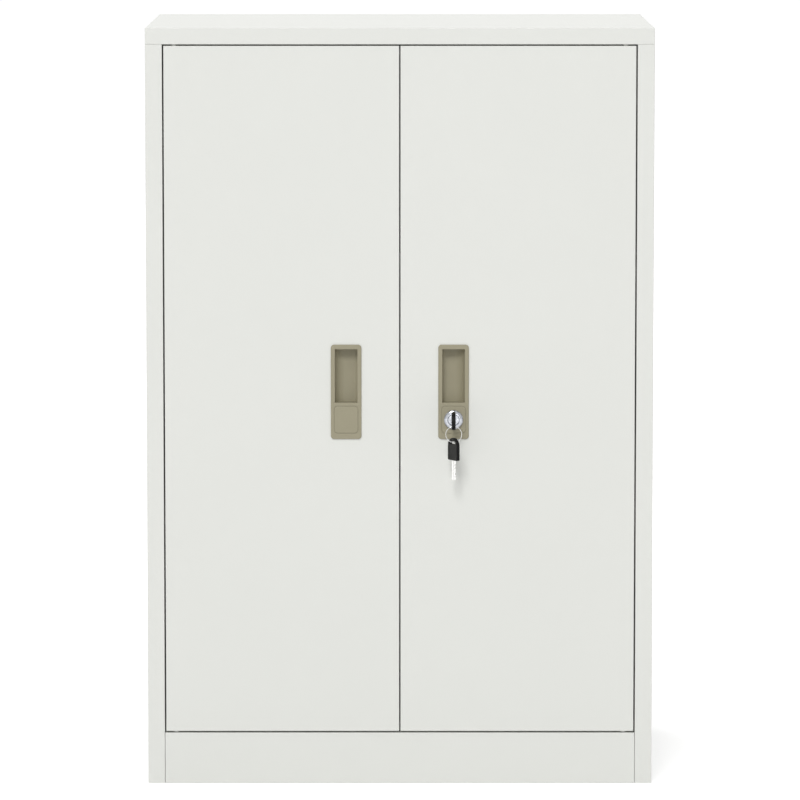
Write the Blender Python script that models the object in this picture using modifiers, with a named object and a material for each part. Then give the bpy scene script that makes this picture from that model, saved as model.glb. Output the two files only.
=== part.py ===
"""Two-door steel storage cabinet with recessed handles, a lock that drives two rods, and shelves on clips.

Metres, +Z up. The cabinet stands at z = 0 and faces -Y, and x = 0 is the middle of its width.
Most pieces have their origin on the plane of the door faces, y = FRONT, so their local y is a depth
into the cabinet.
"""

import math

import bmesh
import bpy
from mathutils import Matrix, Vector

# Overall size, without the keys
WIDTH = 0.600
DEPTH = 0.400
HEIGHT = 0.900

# Sheet, gaps and roundness
SHEET = 0.0007
BEND = 0.0012
BEND_STEPS = 2
FIT = 0.0003
OVERRUN = 0.002
MERGE = 0.000001
ROUND_STEPS = 24
ARC_STEPS = 6
SHARP_FOLD = math.radians(60)
SMOOTH_BELOW = math.radians(35)

# Front frame: posts, cap fascia, plinth, and the rebate that the doors close into
POST = 0.020
POST_LIP = 0.010
BACK_RETURN = 0.020
FASCIA = 0.0194
PLINTH = 0.0608
PLINTH_RETURN = 0.015
PLINTH_SEAM = 0.0005
REBATE = 0.026
SILL_FLANGE = 0.010
STEP = 0.010
FLOOR_LIP = 0.015
STOP_LEG = 0.012
STOP_DROP = 0.0147

# Back panel beads
BEAD = 0.004
BEAD_WIDE = 0.040
BEAD_MARGIN = 0.080
BEAD_X = 0.150

# Slotted uprights, shelf clips and shelves
UPRIGHT_WIDE = 0.025
UPRIGHT_DEEP = 0.0127
SLOT_PITCH = 0.050
SLOT_TALL = 0.012
FIRST_SLOT = 0.0422
CLIP_THICK = 0.0074
CLIP_REACH = 0.018
CLIP_TIP = 0.002
CLIP_GUSSET = 0.012
CLIP_HOOK = 0.011
CLIP_TONGUE = 0.002
SHELF_SLOTS = {"lower_shelf": 4, "upper_shelf": 10}
SHELF_TALL = 0.020
SHELF_RETURN = 0.010
SHELF_PLAY = 0.002
SHELF_SET_BACK = 0.004

# Doors and the pivots that they turn on
DOOR_GAP = 0.0022
DOOR_DEPTH = 0.018
DOOR_LIP = 0.012
PIVOT_IN = 0.0117
PIVOT_BACK = 0.007
PIN = 0.00175
FOOT_HALF = 0.008
FOOT_TALL = 0.010
BUSH_WALL = 0.00075
BUSH_COLLAR = 0.0032
BUSH_FLANGE = 0.0045
BUSH_FLANGE_THICK = 0.0012
STIFFENER_END = 0.0177
STIFFENER_CROWN = 0.030
STIFFENER_FLANGE = 0.010
STIFFENER_BACK = 0.017

# Door buffers and the magnetic catch
BUFFER = 0.0036
BUFFER_X = 0.040
BUFFER_IN = 0.006
BUFFER_SILL = 0.0061
CATCH_WIDE = 0.016
CATCH_TALL = 0.010
CATCH_DROP = 0.0022

# Recessed handles, from the front of the flange inwards
HANDLE_X = 0.0636
HANDLE_LOW = 0.4135
HANDLE_WIDE = 0.0362
HANDLE_TALL = 0.1123
HANDLE_CORNER = 0.0038
HANDLE_PROUD = 0.0022
MOUTH_WIDE = 0.0268
MOUTH_DROP = 0.0052
MOUTH_SILL = 0.004
POCKET_DEPTH = 0.015
POCKET_WALL = 0.0016
SCOOP = 0.012
INNER_CORNER = 0.005
UNDERCUT = 0.0012
SEAT_DEPTH = 0.008
SEAT_UP = 0.0049
CUTOUT_PLAY = 0.0004
COVER_WIDE = 0.028
COVER_TALL = 0.032
COVER_CORNER = 0.004
COVER_THICK = 0.0009
COVER_SINK = 0.0008
LOCK_UP = 0.0233

# Lock: collar, barrel, nut, plug and the lever that drives the rods
COLLAR = 0.0112
COLLAR_THICK = 0.0032
COLLAR_CHAMFER = 0.0006
BARREL = 0.0092
BARREL_END = 0.0172
NUT = 0.0125
NUT_THICK = 0.003
PLUG = 0.0065
PLUG_PROUD = 0.0002
KEYWAY_DEPTH = 0.0164
TAIL = 0.0026
LEVER_THICK = 0.0012
LEVER_END = 0.0042
STUD = 0.0015
STUD_ORBIT = 0.008
STUD_LONG = 0.003
STUD_DEGREES = 45
SCREW_HEAD = 0.0034
SCREW_HEAD_THICK = 0.0016
SCREW_SHANK = 0.0012
SCREW_LONG = 0.002

# Locking rods, their forks, guides and keepers
ROD = 0.0021
ROD_OUT = 0.0106
ROD_SHOWS = 0.0012
FORK_THICK = 0.0016
FORK_GAP = 0.0006
FORK_PLAY = 0.0007
FORK_PRONG = 0.0025
FORK_START = 0.0042
FORK_WEB = 0.0032
FORK_STUD_ROOM = 0.0004
BRIDGE_CLEAR = 0.0031
BRIDGE_TALL = 0.0035
GUIDE_WIDE = 0.016
GUIDE_TALL = 0.008
GUIDE_FOOT = 0.0012
GUIDE_WALL = 0.001
KEEPER_WIDE = 0.009
KEEPER_PLAY = 0.0012

# Keys and their ring
KEY_STANDOFF = 0.0075
HEAD_WIDE = 0.020
HEAD_LONG = 0.0265
HEAD_THICK = 0.0044
HEAD_DOME = 0.010
HEAD_CORNER = 0.0015
EYE_LONG = 0.013
EYE_WIDE = 0.0036
EYE_DOWN = 0.0056
BLADE_WIDE = 0.0064
BLADE_THICK = 0.002
BLADE_IN_LOCK = 0.016
BLADE_TANG = 0.008
BLADE_TIP = 0.0016
NOTCH_DEEP = 0.0013
NOTCH_HALF = 0.0011
RING = 0.0094
RING_WIRE = 0.0007
RING_WIRE_STEPS = 8
RING_PLAY = 0.0006
SPARE_PLAY = 0.0004
SPARE_TURN = math.radians(32)

# Notch places along the part of the blade that enters the lock, and their depths
NOTCH_SHARES = ((0.18, 0.6), (0.34, 1.0), (0.50, 0.45), (0.66, 0.85), (0.82, 0.6))

# Places worked out from the sizes above
SIDE = WIDTH / 2
LEDGE = HEIGHT - FASCIA
OPENING = SIDE - POST
FLOOR = PLINTH + STEP
LINER = SIDE - SHEET - FIT
BACK_FACE = DEPTH - SHEET - FIT
INSIDE_BACK = BACK_FACE - SHEET - BEAD - FIT
BEHIND_REBATE = REBATE + SHEET + FIT
STOP_FACE = REBATE + FIT
WEB = LINER - UPRIGHT_DEEP
SLOT_WIDE = CLIP_THICK + 2 * FIT
SLOT_LOW = FLOOR + FIRST_SLOT
DOOR_LOW = PLINTH + DOOR_GAP
DOOR_TOP = LEDGE - DOOR_GAP
DOOR_OUTER = OPENING - DOOR_GAP
DOOR_INNER = DOOR_GAP / 2
DOOR_MIDDLE = (DOOR_OUTER + DOOR_INNER) / 2
DOOR_BACK = DOOR_DEPTH + FIT
PIVOT_X = DOOR_OUTER - PIVOT_IN
BUSH_BODY = PIN + FIT + BUSH_WALL
MOUTH_TOP = HANDLE_TALL - MOUTH_DROP
MOUTH_LOW = LOCK_UP + COVER_TALL / 2 + MOUTH_SILL
MOUTH_TALL = MOUTH_TOP - MOUTH_LOW
POCKET_FLOOR = POCKET_DEPTH - HANDLE_PROUD
SEAT_BACK = SEAT_DEPTH - HANDLE_PROUD
BODY_INNER = MOUTH_WIDE / 2 + UNDERCUT + POCKET_WALL
BODY_OUTER = MOUTH_WIDE / 2 + POCKET_WALL
BODY_TOP = MOUTH_TOP + POCKET_WALL
COVER_SEAT = HANDLE_PROUD - COVER_SINK
COVER_FRONT = COVER_SEAT + FIT + COVER_THICK
LOCK_Z = HANDLE_LOW + LOCK_UP
COLLAR_BACK = COVER_FRONT + FIT
COLLAR_FRONT = COLLAR_BACK + COLLAR_THICK
LEVER_FRONT = BARREL_END + FIT
LEVER_BACK = LEVER_FRONT + LEVER_THICK
FORK_FRONT = LEVER_BACK + FORK_GAP
STUD_SIDE = STUD_ORBIT * math.cos(math.radians(STUD_DEGREES))
STUD_RISE = STUD_ORBIT * math.sin(math.radians(STUD_DEGREES))
ROD_X = HANDLE_X + ROD_OUT
ROD_BACK = DOOR_BACK + GUIDE_WALL + FIT + ROD
KEY_TIP = KEY_STANDOFF + HEAD_LONG
EYE_OUT = KEY_TIP - EYE_DOWN
EYE_LOW = EYE_LONG / 2 - RING_WIRE - RING_PLAY
RING_Z = LOCK_Z - EYE_LOW - RING
SPARE_EYE_Z = RING_Z - RING - SPARE_PLAY
SPARE_HALF = HEAD_WIDE / 2 * math.cos(SPARE_TURN) + HEAD_THICK / 2 * math.sin(SPARE_TURN)
KEYS_OUT = max(KEY_TIP, EYE_OUT + SPARE_HALF)
FRONT = (KEYS_OUT - DEPTH) / 2

# Directions, and turns that stand a flat outline up or lay an axis along the depth
UP = Vector((0, 0, 1))
DOWN = -UP
BACKWARDS = Vector((0, 1, 0))
FORWARDS = -BACKWARDS
FLAT = Matrix.Identity(4)
STANDING = Matrix.Rotation(math.radians(90), 4, "X")
EDGEWAYS = Matrix(((0, 0, 1, 0), (1, 0, 0, 0), (0, 1, 0, 0), (0, 0, 0, 1)))
FACING_FRONT = (math.radians(90), 0, 0)
UPSIDE_DOWN = (math.radians(180), 0, 0)
ABOUT_FACE = (0, 0, math.radians(180))
UNTURNED = (0, 0, 0)

# Colour, roughness and metallic value of each finish
FINISHES = {
    "white_powder_coat": ((0.775, 0.783, 0.745), 0.42, 0.0),
    "taupe_plastic": ((0.352, 0.323, 0.223), 0.55, 0.0),
    "dark_plastic": ((0.070, 0.070, 0.066), 0.45, 0.0),
    "black_rubber": ((0.020, 0.020, 0.020), 0.80, 0.0),
    "white_nylon": ((0.800, 0.800, 0.780), 0.50, 0.0),
    "zinc_plate": ((0.620, 0.630, 0.640), 0.38, 1.0),
    "bright_chrome": ((0.780, 0.780, 0.780), 0.12, 1.0),
    "polished_steel": ((0.660, 0.660, 0.650), 0.22, 1.0),
}


# Scene, materials and carriers


def clear_scene():
    for obj in list(bpy.data.objects):
        bpy.data.objects.remove(obj, do_unlink=True)


def new_collection(name):
    collection = bpy.data.collections.new(name)
    bpy.context.scene.collection.children.link(collection)
    return collection


def material(name, finish):
    colour, roughness, metallic = FINISHES[finish]
    made = bpy.data.materials.new(name)
    made.use_nodes = True
    shader = made.node_tree.nodes["Principled BSDF"]
    shader.inputs["Base Color"].default_value = (*colour, 1)
    shader.inputs["Roughness"].default_value = roughness
    shader.inputs["Metallic"].default_value = metallic
    made.diffuse_color = (*colour, 1)
    return made


def carrier(name, at, parent=None):
    """An empty on the axis that a moving group turns about or slides along."""
    empty = bpy.data.objects.new(name, None)
    PARTS.objects.link(empty)
    empty.location = at
    hang(empty, parent)
    return empty


def hang(obj, parent):
    """Parents a piece and leaves it where it stands in the world."""
    if parent is None:
        return
    obj.parent = parent
    bpy.context.view_layer.update()
    obj.matrix_parent_inverse = parent.matrix_world.inverted()


def piece(name, mesh, finish, parent, at=(0, FRONT, 0), turn=UNTURNED):
    """One named sub-part with its own material."""
    obj = bpy.data.objects.new(name, mesh)
    PARTS.objects.link(obj)
    obj.location = at
    obj.rotation_euler = turn
    if not mesh.materials:
        mesh.materials.append(None)
    obj.material_slots[0].link = "OBJECT"
    obj.material_slots[0].material = material(f"{name}_{finish}", finish)
    hang(obj, parent)
    return obj


# Meshes


def to_mesh(bm):
    mesh = bpy.data.meshes.new("shape")
    bm.normal_update()
    bm.to_mesh(mesh)
    bm.free()
    return mesh


def add_block(bm, low, high):
    low, high = Vector(low), Vector(high)
    size = Matrix.Diagonal((*(high - low), 1))
    bmesh.ops.create_cube(bm, size=1, matrix=Matrix.Translation((low + high) / 2) @ size)


def blocks(*corners):
    """Boxes, each from its lowest to its highest corner, in one mesh."""
    bm = bmesh.new()
    for low, high in corners:
        add_block(bm, low, high)
    return to_mesh(bm)


def rod(radius, start, end):
    """A round bar between two points."""
    start, end = Vector(start), Vector(end)
    along = end - start
    lie = along.to_track_quat("Z", "X").to_matrix().to_4x4()
    bm = bmesh.new()
    bmesh.ops.create_cone(
        bm,
        cap_ends=True,
        segments=ROUND_STEPS,
        radius1=radius,
        radius2=radius,
        depth=along.length,
        matrix=Matrix.Translation((start + end) / 2) @ lie,
    )
    mesh = to_mesh(bm)
    smooth(mesh)
    return mesh


def smooth(mesh):
    mesh.shade_smooth()
    mesh.set_sharp_from_angle(angle=SMOOTH_BELOW)


def arc(centre, radius, start, end, steps=ARC_STEPS):
    """Points on an arc, from one angle to another in degrees."""
    angles = [math.radians(start + (end - start) * step / steps) for step in range(steps + 1)]
    return [(centre[0] + radius * math.cos(a), centre[1] + radius * math.sin(a)) for a in angles]


def circle(radius, centre=(0, 0), steps=ROUND_STEPS):
    return arc(centre, radius, 0, 360, steps)[:-1]


def rounded_box(wide, tall, corner, centre=(0, 0)):
    """Outline of a rectangle with rounded corners."""
    points = []
    for quarter, (across, along) in enumerate(((1, 1), (-1, 1), (-1, -1), (1, -1))):
        middle = (
            centre[0] + across * (wide / 2 - corner),
            centre[1] + along * (tall / 2 - corner),
        )
        points += arc(middle, corner, 90 * quarter, 90 * quarter + 90)
    return points


def plate(outline, thick, facing=STANDING, at=(0, 0, 0), holes=()):
    """A flat outline with its holes, as a closed solid that is centred on its own plane."""
    curve = bpy.data.curves.new("outline", "CURVE")
    curve.dimensions = "2D"
    curve.fill_mode = "BOTH"
    curve.extrude = thick / 2
    for loop in (outline, *holes):
        spline = curve.splines.new("POLY")
        spline.points.add(len(loop) - 1)
        spline.use_cyclic_u = True
        for point, (across, along) in zip(spline.points, loop):
            point.co = (across, along, 0, 1)
    guide = bpy.data.objects.new("outline", curve)
    bpy.context.scene.collection.objects.link(guide)
    graph = bpy.context.evaluated_depsgraph_get()
    mesh = bpy.data.meshes.new_from_object(guide.evaluated_get(graph))
    bpy.data.objects.remove(guide)
    bm = bmesh.new()
    bm.from_mesh(mesh)
    bmesh.ops.remove_doubles(bm, verts=bm.verts, dist=MERGE)
    bmesh.ops.recalc_face_normals(bm, faces=bm.faces)
    bm.transform(Matrix.Translation(at) @ facing)
    made = to_mesh(bm)
    smooth(made)
    return made


def strip(path, run, outside):
    """An open sheet: a path swept along run, with its widest face turned to the outside."""
    bm = bmesh.new()
    corners = [bm.verts.new(point) for point in path]
    edges = [bm.edges.new(pair) for pair in zip(corners, corners[1:])]
    swept = bmesh.ops.extrude_edge_only(bm, edges=edges)["geom"]
    bmesh.ops.translate(bm, verts=[v for v in swept if isinstance(v, bmesh.types.BMVert)], vec=run)
    bm.normal_update()
    widest = max(bm.faces, key=lambda face: face.calc_area())
    if widest.normal.dot(Vector(outside)) < 0:
        bmesh.ops.reverse_faces(bm, faces=bm.faces)
    return bm


def face_towards(bm, way):
    """The face that looks and lies furthest that way."""
    bm.normal_update()
    facing = [face for face in bm.faces if face.normal.dot(way) > math.cos(SHARP_FOLD)]
    return max(facing, key=lambda face: face.calc_center_median().dot(way))


def pan(low, high, opened, lip=0):
    """A folded tray: the box face that is opened goes, apart from a lip round it."""
    bm = bmesh.new()
    add_block(bm, low, high)
    face = face_towards(bm, opened)
    if lip:
        bmesh.ops.inset_region(bm, faces=[face], thickness=lip, use_even_offset=True)
    bmesh.ops.delete(bm, geom=[face], context="FACES")
    return to_mesh(bm)


# Modifiers


def fold(obj):
    """Rounds the folds of an open sheet and gives it its thickness inwards."""
    bend = obj.modifiers.new("bends", "BEVEL")
    bend.limit_method = "ANGLE"
    bend.angle_limit = SHARP_FOLD
    bend.width = BEND
    bend.segments = BEND_STEPS
    wall = obj.modifiers.new("sheet", "SOLIDIFY")
    wall.thickness = SHEET
    wall.offset = -1
    wall.use_even_offset = True


def boolean(obj, mesh, operation):
    """Cuts or joins a second mesh that is given in the piece's own frame."""
    tool = bpy.data.objects.new(f"{obj.name}_{operation.lower()}", mesh)
    CUTTERS.objects.link(tool)
    tool.parent = obj
    tool.hide_render = True
    tool.display_type = "WIRE"
    made = obj.modifiers.new(tool.name, "BOOLEAN")
    made.operation = operation
    made.solver = "EXACT"
    made.object = tool


def cut(obj, mesh):
    boolean(obj, mesh, "DIFFERENCE")


def join(obj, mesh):
    boolean(obj, mesh, "UNION")


def turned(name, profile, finish, parent, at, turn=UNTURNED, bored=False):
    """A revolved piece. Its profile is (radius, height) down the outside, and closes on itself if bored."""
    mesh = bpy.data.meshes.new("profile")
    last = len(profile) - 1
    edges = [(step, step + 1) for step in range(last)] + ([(last, 0)] if bored else [])
    mesh.from_pydata([(radius, 0, height) for radius, height in profile], edges, [])
    obj = piece(name, mesh, finish, parent, at, turn)
    spin = obj.modifiers.new("turned", "SCREW")
    spin.axis = "Z"
    spin.angle = math.radians(360)
    spin.steps = ROUND_STEPS
    spin.render_steps = ROUND_STEPS
    spin.use_merge_vertices = True
    spin.merge_threshold = MERGE
    spin.use_smooth_shade = False
    return obj


# Carcass


def side_panel(name, side):
    """Front post, side and rear return, folded from one sheet."""
    path = (
        (OPENING + POST_LIP, REBATE),
        (OPENING, REBATE),
        (OPENING, 0),
        (SIDE, 0),
        (SIDE, DEPTH),
        (SIDE - BACK_RETURN, DEPTH),
    )
    corners = [(side * across, back, 0) for across, back in path]
    shape = strip(corners, run=(0, 0, LEDGE - FIT), outside=(side, 0, 0))
    fold(piece(name, to_mesh(shape), "white_powder_coat", None))


def top_panel():
    """The cap: a shallow tray whose front turns back under itself as the ledge over the doors."""
    bm = bmesh.new()
    add_block(bm, (-SIDE, 0, LEDGE), (SIDE, DEPTH, HEIGHT))
    under = face_towards(bm, DOWN)
    bmesh.ops.bisect_plane(
        bm,
        geom=[under, *under.edges, *under.verts],
        plane_co=(0, REBATE, 0),
        plane_no=BACKWARDS,
    )
    flat = [face for face in bm.faces if face.normal.dot(DOWN) > math.cos(SHARP_FOLD)]
    behind = max(flat, key=lambda face: face.calc_center_median().y)
    bmesh.ops.delete(bm, geom=[behind], context="FACES")
    cap = piece("top_panel", to_mesh(bm), "white_powder_coat", None)
    fold(cap)
    for side in (-1, 1):
        cut(cap, bush_hole(side, LEDGE, SHEET))
    cut(cap, keeper_slot(LEDGE, SHEET))


def through(level, thick):
    """Two levels, just outside a sheet that lies from level to level + thick."""
    low, high = sorted((level, level + thick))
    return low - OVERRUN, high + OVERRUN


def bush_hole(side, level, thick):
    """Hole for a pivot bush."""
    low, high = through(level, thick)
    across = side * PIVOT_X
    return rod(BUSH_BODY + FIT, (across, PIVOT_BACK, low), (across, PIVOT_BACK, high))


def keeper_slot(level, thick):
    """Slot that a locking rod enters."""
    low, high = through(level, thick)
    reach = ROD + KEEPER_PLAY
    return blocks(
        (
            (ROD_X - KEEPER_WIDE / 2, ROD_BACK - reach, low),
            (ROD_X + KEEPER_WIDE / 2, ROD_BACK + reach, high),
        )
    )


def door_stop():
    """An angle strip: one leg lies on the ledge, the other hangs behind it and stops the doors."""
    half = OPENING - PLINTH_SEAM
    seat = LEDGE + SHEET + FIT + SHEET
    path = (
        (STOP_FACE + STOP_LEG, seat),
        (STOP_FACE, seat),
        (STOP_FACE, LEDGE - STOP_DROP),
    )
    corners = [(-half, back, up) for back, up in path]
    shape = strip(corners, run=(2 * half, 0, 0), outside=FORWARDS)
    fold(piece("door_stop", to_mesh(shape), "white_powder_coat", None))


def plinth():
    """Kick plate and sill in one fold, between the posts."""
    half = OPENING - PLINTH_SEAM
    path = (
        (PLINTH_RETURN, 0),
        (0, 0),
        (0, PLINTH),
        (REBATE, PLINTH),
        (REBATE, PLINTH - SILL_FLANGE),
    )
    corners = [(-half, back, up) for back, up in path]
    shape = strip(corners, run=(2 * half, 0, 0), outside=FORWARDS)
    kick = piece("plinth", to_mesh(shape), "white_powder_coat", None)
    fold(kick)
    for side in (-1, 1):
        cut(kick, bush_hole(side, PLINTH, -SHEET))
    cut(kick, keeper_slot(PLINTH, -SHEET))


def floor_panel():
    """A tray upside down, whose front lip stands a step above the sill and stops the doors."""
    low = (-LINER, STOP_FACE, FLOOR - FLOOR_LIP)
    high = (LINER, INSIDE_BACK, FLOOR)
    fold(piece("floor_panel", pan(low, high, DOWN), "white_powder_coat", None))


def back_panel():
    """Rear sheet with two upright beads pressed inwards."""
    top = HEIGHT - SHEET - FIT
    path = ((-LINER, BACK_FACE, 0), (LINER, BACK_FACE, 0))
    bm = strip(path, run=(0, 0, top), outside=BACKWARDS)
    edges = [side * (BEAD_X + half) for side in (-1, 1) for half in (-BEAD_WIDE / 2, BEAD_WIDE / 2)]
    for across in edges:
        split(bm, (across, 0, 0), (1, 0, 0))
    for level in (BEAD_MARGIN, top - BEAD_MARGIN):
        split(bm, (0, 0, level), UP)
    beads = []
    for face in bm.faces:
        middle = face.calc_center_median()
        if abs(abs(middle.x) - BEAD_X) < BEAD_WIDE / 2 and BEAD_MARGIN < middle.z < top - BEAD_MARGIN:
            beads.append(face)
    bmesh.ops.inset_region(bm, faces=beads, thickness=BEAD, depth=-BEAD, use_even_offset=True)
    fold(piece("back_panel", to_mesh(bm), "white_powder_coat", None))


def split(bm, point, across):
    """Adds an edge loop where a plane meets the sheet."""
    bmesh.ops.bisect_plane(bm, geom=[*bm.verts, *bm.edges, *bm.faces], plane_co=point, plane_no=across)


def upright(name, side, front):
    """A channel that is open towards the side panel, with a row of slots for shelf clips."""
    path = (
        (LINER, front),
        (WEB, front),
        (WEB, front + UPRIGHT_WIDE),
        (LINER, front + UPRIGHT_WIDE),
    )
    low, high = FLOOR + FIT, LEDGE - FIT
    corners = [(side * across, back, low) for across, back in path]
    shape = strip(corners, run=(0, 0, high - low), outside=(-side, 0, 0))
    channel = piece(name, to_mesh(shape), "zinc_plate", None)
    fold(channel)
    near, far = sorted((side * (WEB - OVERRUN), side * (WEB + SHEET + OVERRUN)))
    middle = front + UPRIGHT_WIDE / 2
    slots = []
    level = SLOT_LOW
    while level + SLOT_TALL < high:
        slots.append(
            (
                (near, middle - SLOT_WIDE / 2, level - SLOT_TALL / 2),
                (far, middle + SLOT_WIDE / 2, level + SLOT_TALL / 2),
            )
        )
        level += SLOT_PITCH
    cut(channel, blocks(*slots))


def clip_mesh():
    """A bracket under the shelf, with a tongue through the slot that hooks down behind the web."""
    behind = SHEET + FIT
    sill = FIT - SLOT_TALL / 2
    outline = (
        (-CLIP_REACH, 0),
        (-CLIP_REACH, -CLIP_TIP),
        (-FIT, -CLIP_GUSSET),
        (-FIT, sill),
        (behind, sill),
        (behind, -CLIP_HOOK),
        (behind + CLIP_TONGUE, -CLIP_HOOK),
        (behind + CLIP_TONGUE, 0),
    )
    return plate(outline, CLIP_THICK)


def shelves():
    """Two pan shelves, each on four clips that sit in the same row of slots."""
    rows = {"front": BEHIND_REBATE, "rear": INSIDE_BACK - UPRIGHT_WIDE}
    for row, front in rows.items():
        for word, side in SIDES.items():
            upright(f"{row}_{word}_upright", side, front)
    clip = clip_mesh()
    half = WEB - SHELF_PLAY
    for name, slot in SHELF_SLOTS.items():
        level = SLOT_LOW + slot * SLOT_PITCH
        under = level + FIT
        low = (-half, REBATE + SHELF_SET_BACK, under)
        high = (half, INSIDE_BACK, under + SHELF_TALL)
        fold(piece(name, pan(low, high, DOWN, SHELF_RETURN), "white_powder_coat", None))
        for row, front in rows.items():
            for word, side in SIDES.items():
                place = (side * WEB, FRONT + front + UPRIGHT_WIDE / 2, level)
                turn = UNTURNED if side > 0 else ABOUT_FACE
                piece(f"{name}_{row}_{word}_clip", clip, "zinc_plate", None, place, turn)


def buffer(name, across, level):
    """A soft button on the stop, which the closed door rests against."""
    seat = STOP_FACE - FIT
    tall = seat - DOOR_BACK
    profile = (
        (0, tall),
        (BUFFER / 2, tall),
        (BUFFER, tall - BUFFER / 2),
        (BUFFER, 0),
        (0, 0),
    )
    place = (across, FRONT + seat, level)
    turned(name, profile, "black_rubber", None, place, FACING_FRONT)


def closing_parts():
    """What the doors meet when they close: buffers, and a magnetic catch for the door without a lock."""
    over, under = DOOR_TOP - BUFFER_IN, PLINTH + BUFFER_SILL
    buffer("upper_right_buffer", BUFFER_X, over)
    buffer("lower_right_buffer", BUFFER_X, under)
    buffer("lower_left_buffer", -BUFFER_X, under)
    top = DOOR_TOP - CATCH_DROP
    low = (-ROD_X - CATCH_WIDE / 2, DOOR_BACK, top - CATCH_TALL)
    high = (-ROD_X + CATCH_WIDE / 2, STOP_FACE - FIT, top)
    piece("magnetic_catch", blocks((low, high)), "dark_plastic", None)


def bush(name, side, level, turn):
    """A flanged bush in the frame: its small collar fills the gap that the door turns in."""
    top = SHEET + FIT
    bore = PIN + FIT
    profile = (
        (bore, top + BUSH_FLANGE_THICK),
        (BUSH_FLANGE, top + BUSH_FLANGE_THICK),
        (BUSH_FLANGE, top),
        (BUSH_BODY, top),
        (BUSH_BODY, -FIT),
        (BUSH_COLLAR, -FIT),
        (BUSH_COLLAR, FIT - DOOR_GAP),
        (bore, FIT - DOOR_GAP),
    )
    place = (side * PIVOT_X, FRONT + PIVOT_BACK, level)
    turned(name, profile, "white_nylon", None, place, turn, bored=True)


# Doors


def pivot(name, side, level, turn, parent):
    """A pin on a foot that is fixed inside the end of the door."""
    top = -SHEET - FIT
    half = PIVOT_BACK - SHEET - FIT
    foot = blocks(((-FOOT_HALF, -half, top - FOOT_TALL), (FOOT_HALF, half, top)))
    place = (side * PIVOT_X, FRONT + PIVOT_BACK, level)
    obj = piece(name, foot, "zinc_plate", parent, place, turn)
    reach = DOOR_GAP + SHEET + FIT + BUSH_FLANGE_THICK
    join(obj, rod(PIN, (0, 0, top - FOOT_TALL / 2), (0, 0, reach)))


def door_panel(word, side, parent):
    """A folded pan with a lip round its open back, holes for its pins and an opening for the handle."""
    near, far = sorted((side * DOOR_INNER, side * DOOR_OUTER))
    shape = pan((near, 0, DOOR_LOW), (far, DOOR_DEPTH, DOOR_TOP), BACKWARDS, DOOR_LIP)
    panel = piece(f"{word}_door_panel", shape, "white_powder_coat", parent)
    fold(panel)
    across = side * PIVOT_X
    for level in (DOOR_LOW, DOOR_TOP):
        ends = [(across, PIVOT_BACK, level + way * OVERRUN) for way in (-1, 1)]
        cut(panel, rod(PIN + FIT, *ends))
    near, far = sorted(
        (
            side * (HANDLE_X - BODY_INNER - CUTOUT_PLAY),
            side * (HANDLE_X + BODY_OUTER + CUTOUT_PLAY),
        )
    )
    low = (near, -OVERRUN, HANDLE_LOW + SEAT_UP - CUTOUT_PLAY)
    high = (far, SHEET + OVERRUN, HANDLE_LOW + BODY_TOP + CUTOUT_PLAY)
    cut(panel, blocks((low, high)))


def stiffener(word, side, parent):
    """A hat section up the middle of the door."""
    crown = STIFFENER_CROWN / 2
    foot = crown + STIFFENER_FLANGE
    seat = SHEET + FIT + SHEET
    path = (
        (-foot, seat),
        (-crown, seat),
        (-crown, STIFFENER_BACK),
        (crown, STIFFENER_BACK),
        (crown, seat),
        (foot, seat),
    )
    low, high = DOOR_LOW + STIFFENER_END, DOOR_TOP - STIFFENER_END
    corners = [(side * DOOR_MIDDLE + across, back, low) for across, back in path]
    shape = strip(corners, run=(0, 0, high - low), outside=BACKWARDS)
    fold(piece(f"{word}_door_stiffener", to_mesh(shape), "white_powder_coat", parent))


def pocket_plan(side, front, wall=0):
    """Plan of the finger pocket: a wide scoop on the hinge side, a small undercut corner on the other."""
    half = MOUTH_WIDE / 2
    inner = -half - UNDERCUT - wall
    scoop = (half - SCOOP, POCKET_FLOOR - SCOOP)
    corner = (INNER_CORNER - half - UNDERCUT, POCKET_FLOOR - INNER_CORNER)
    points = [
        (half + wall, front),
        *arc(scoop, SCOOP + wall, 0, 90),
        *arc(corner, INNER_CORNER + wall, 90, 180),
    ]
    points += [(inner, front)] if wall else [(inner, 0), (-half, 0), (-half, front)]
    return [(side * across, back) for across, back in points]


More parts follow.
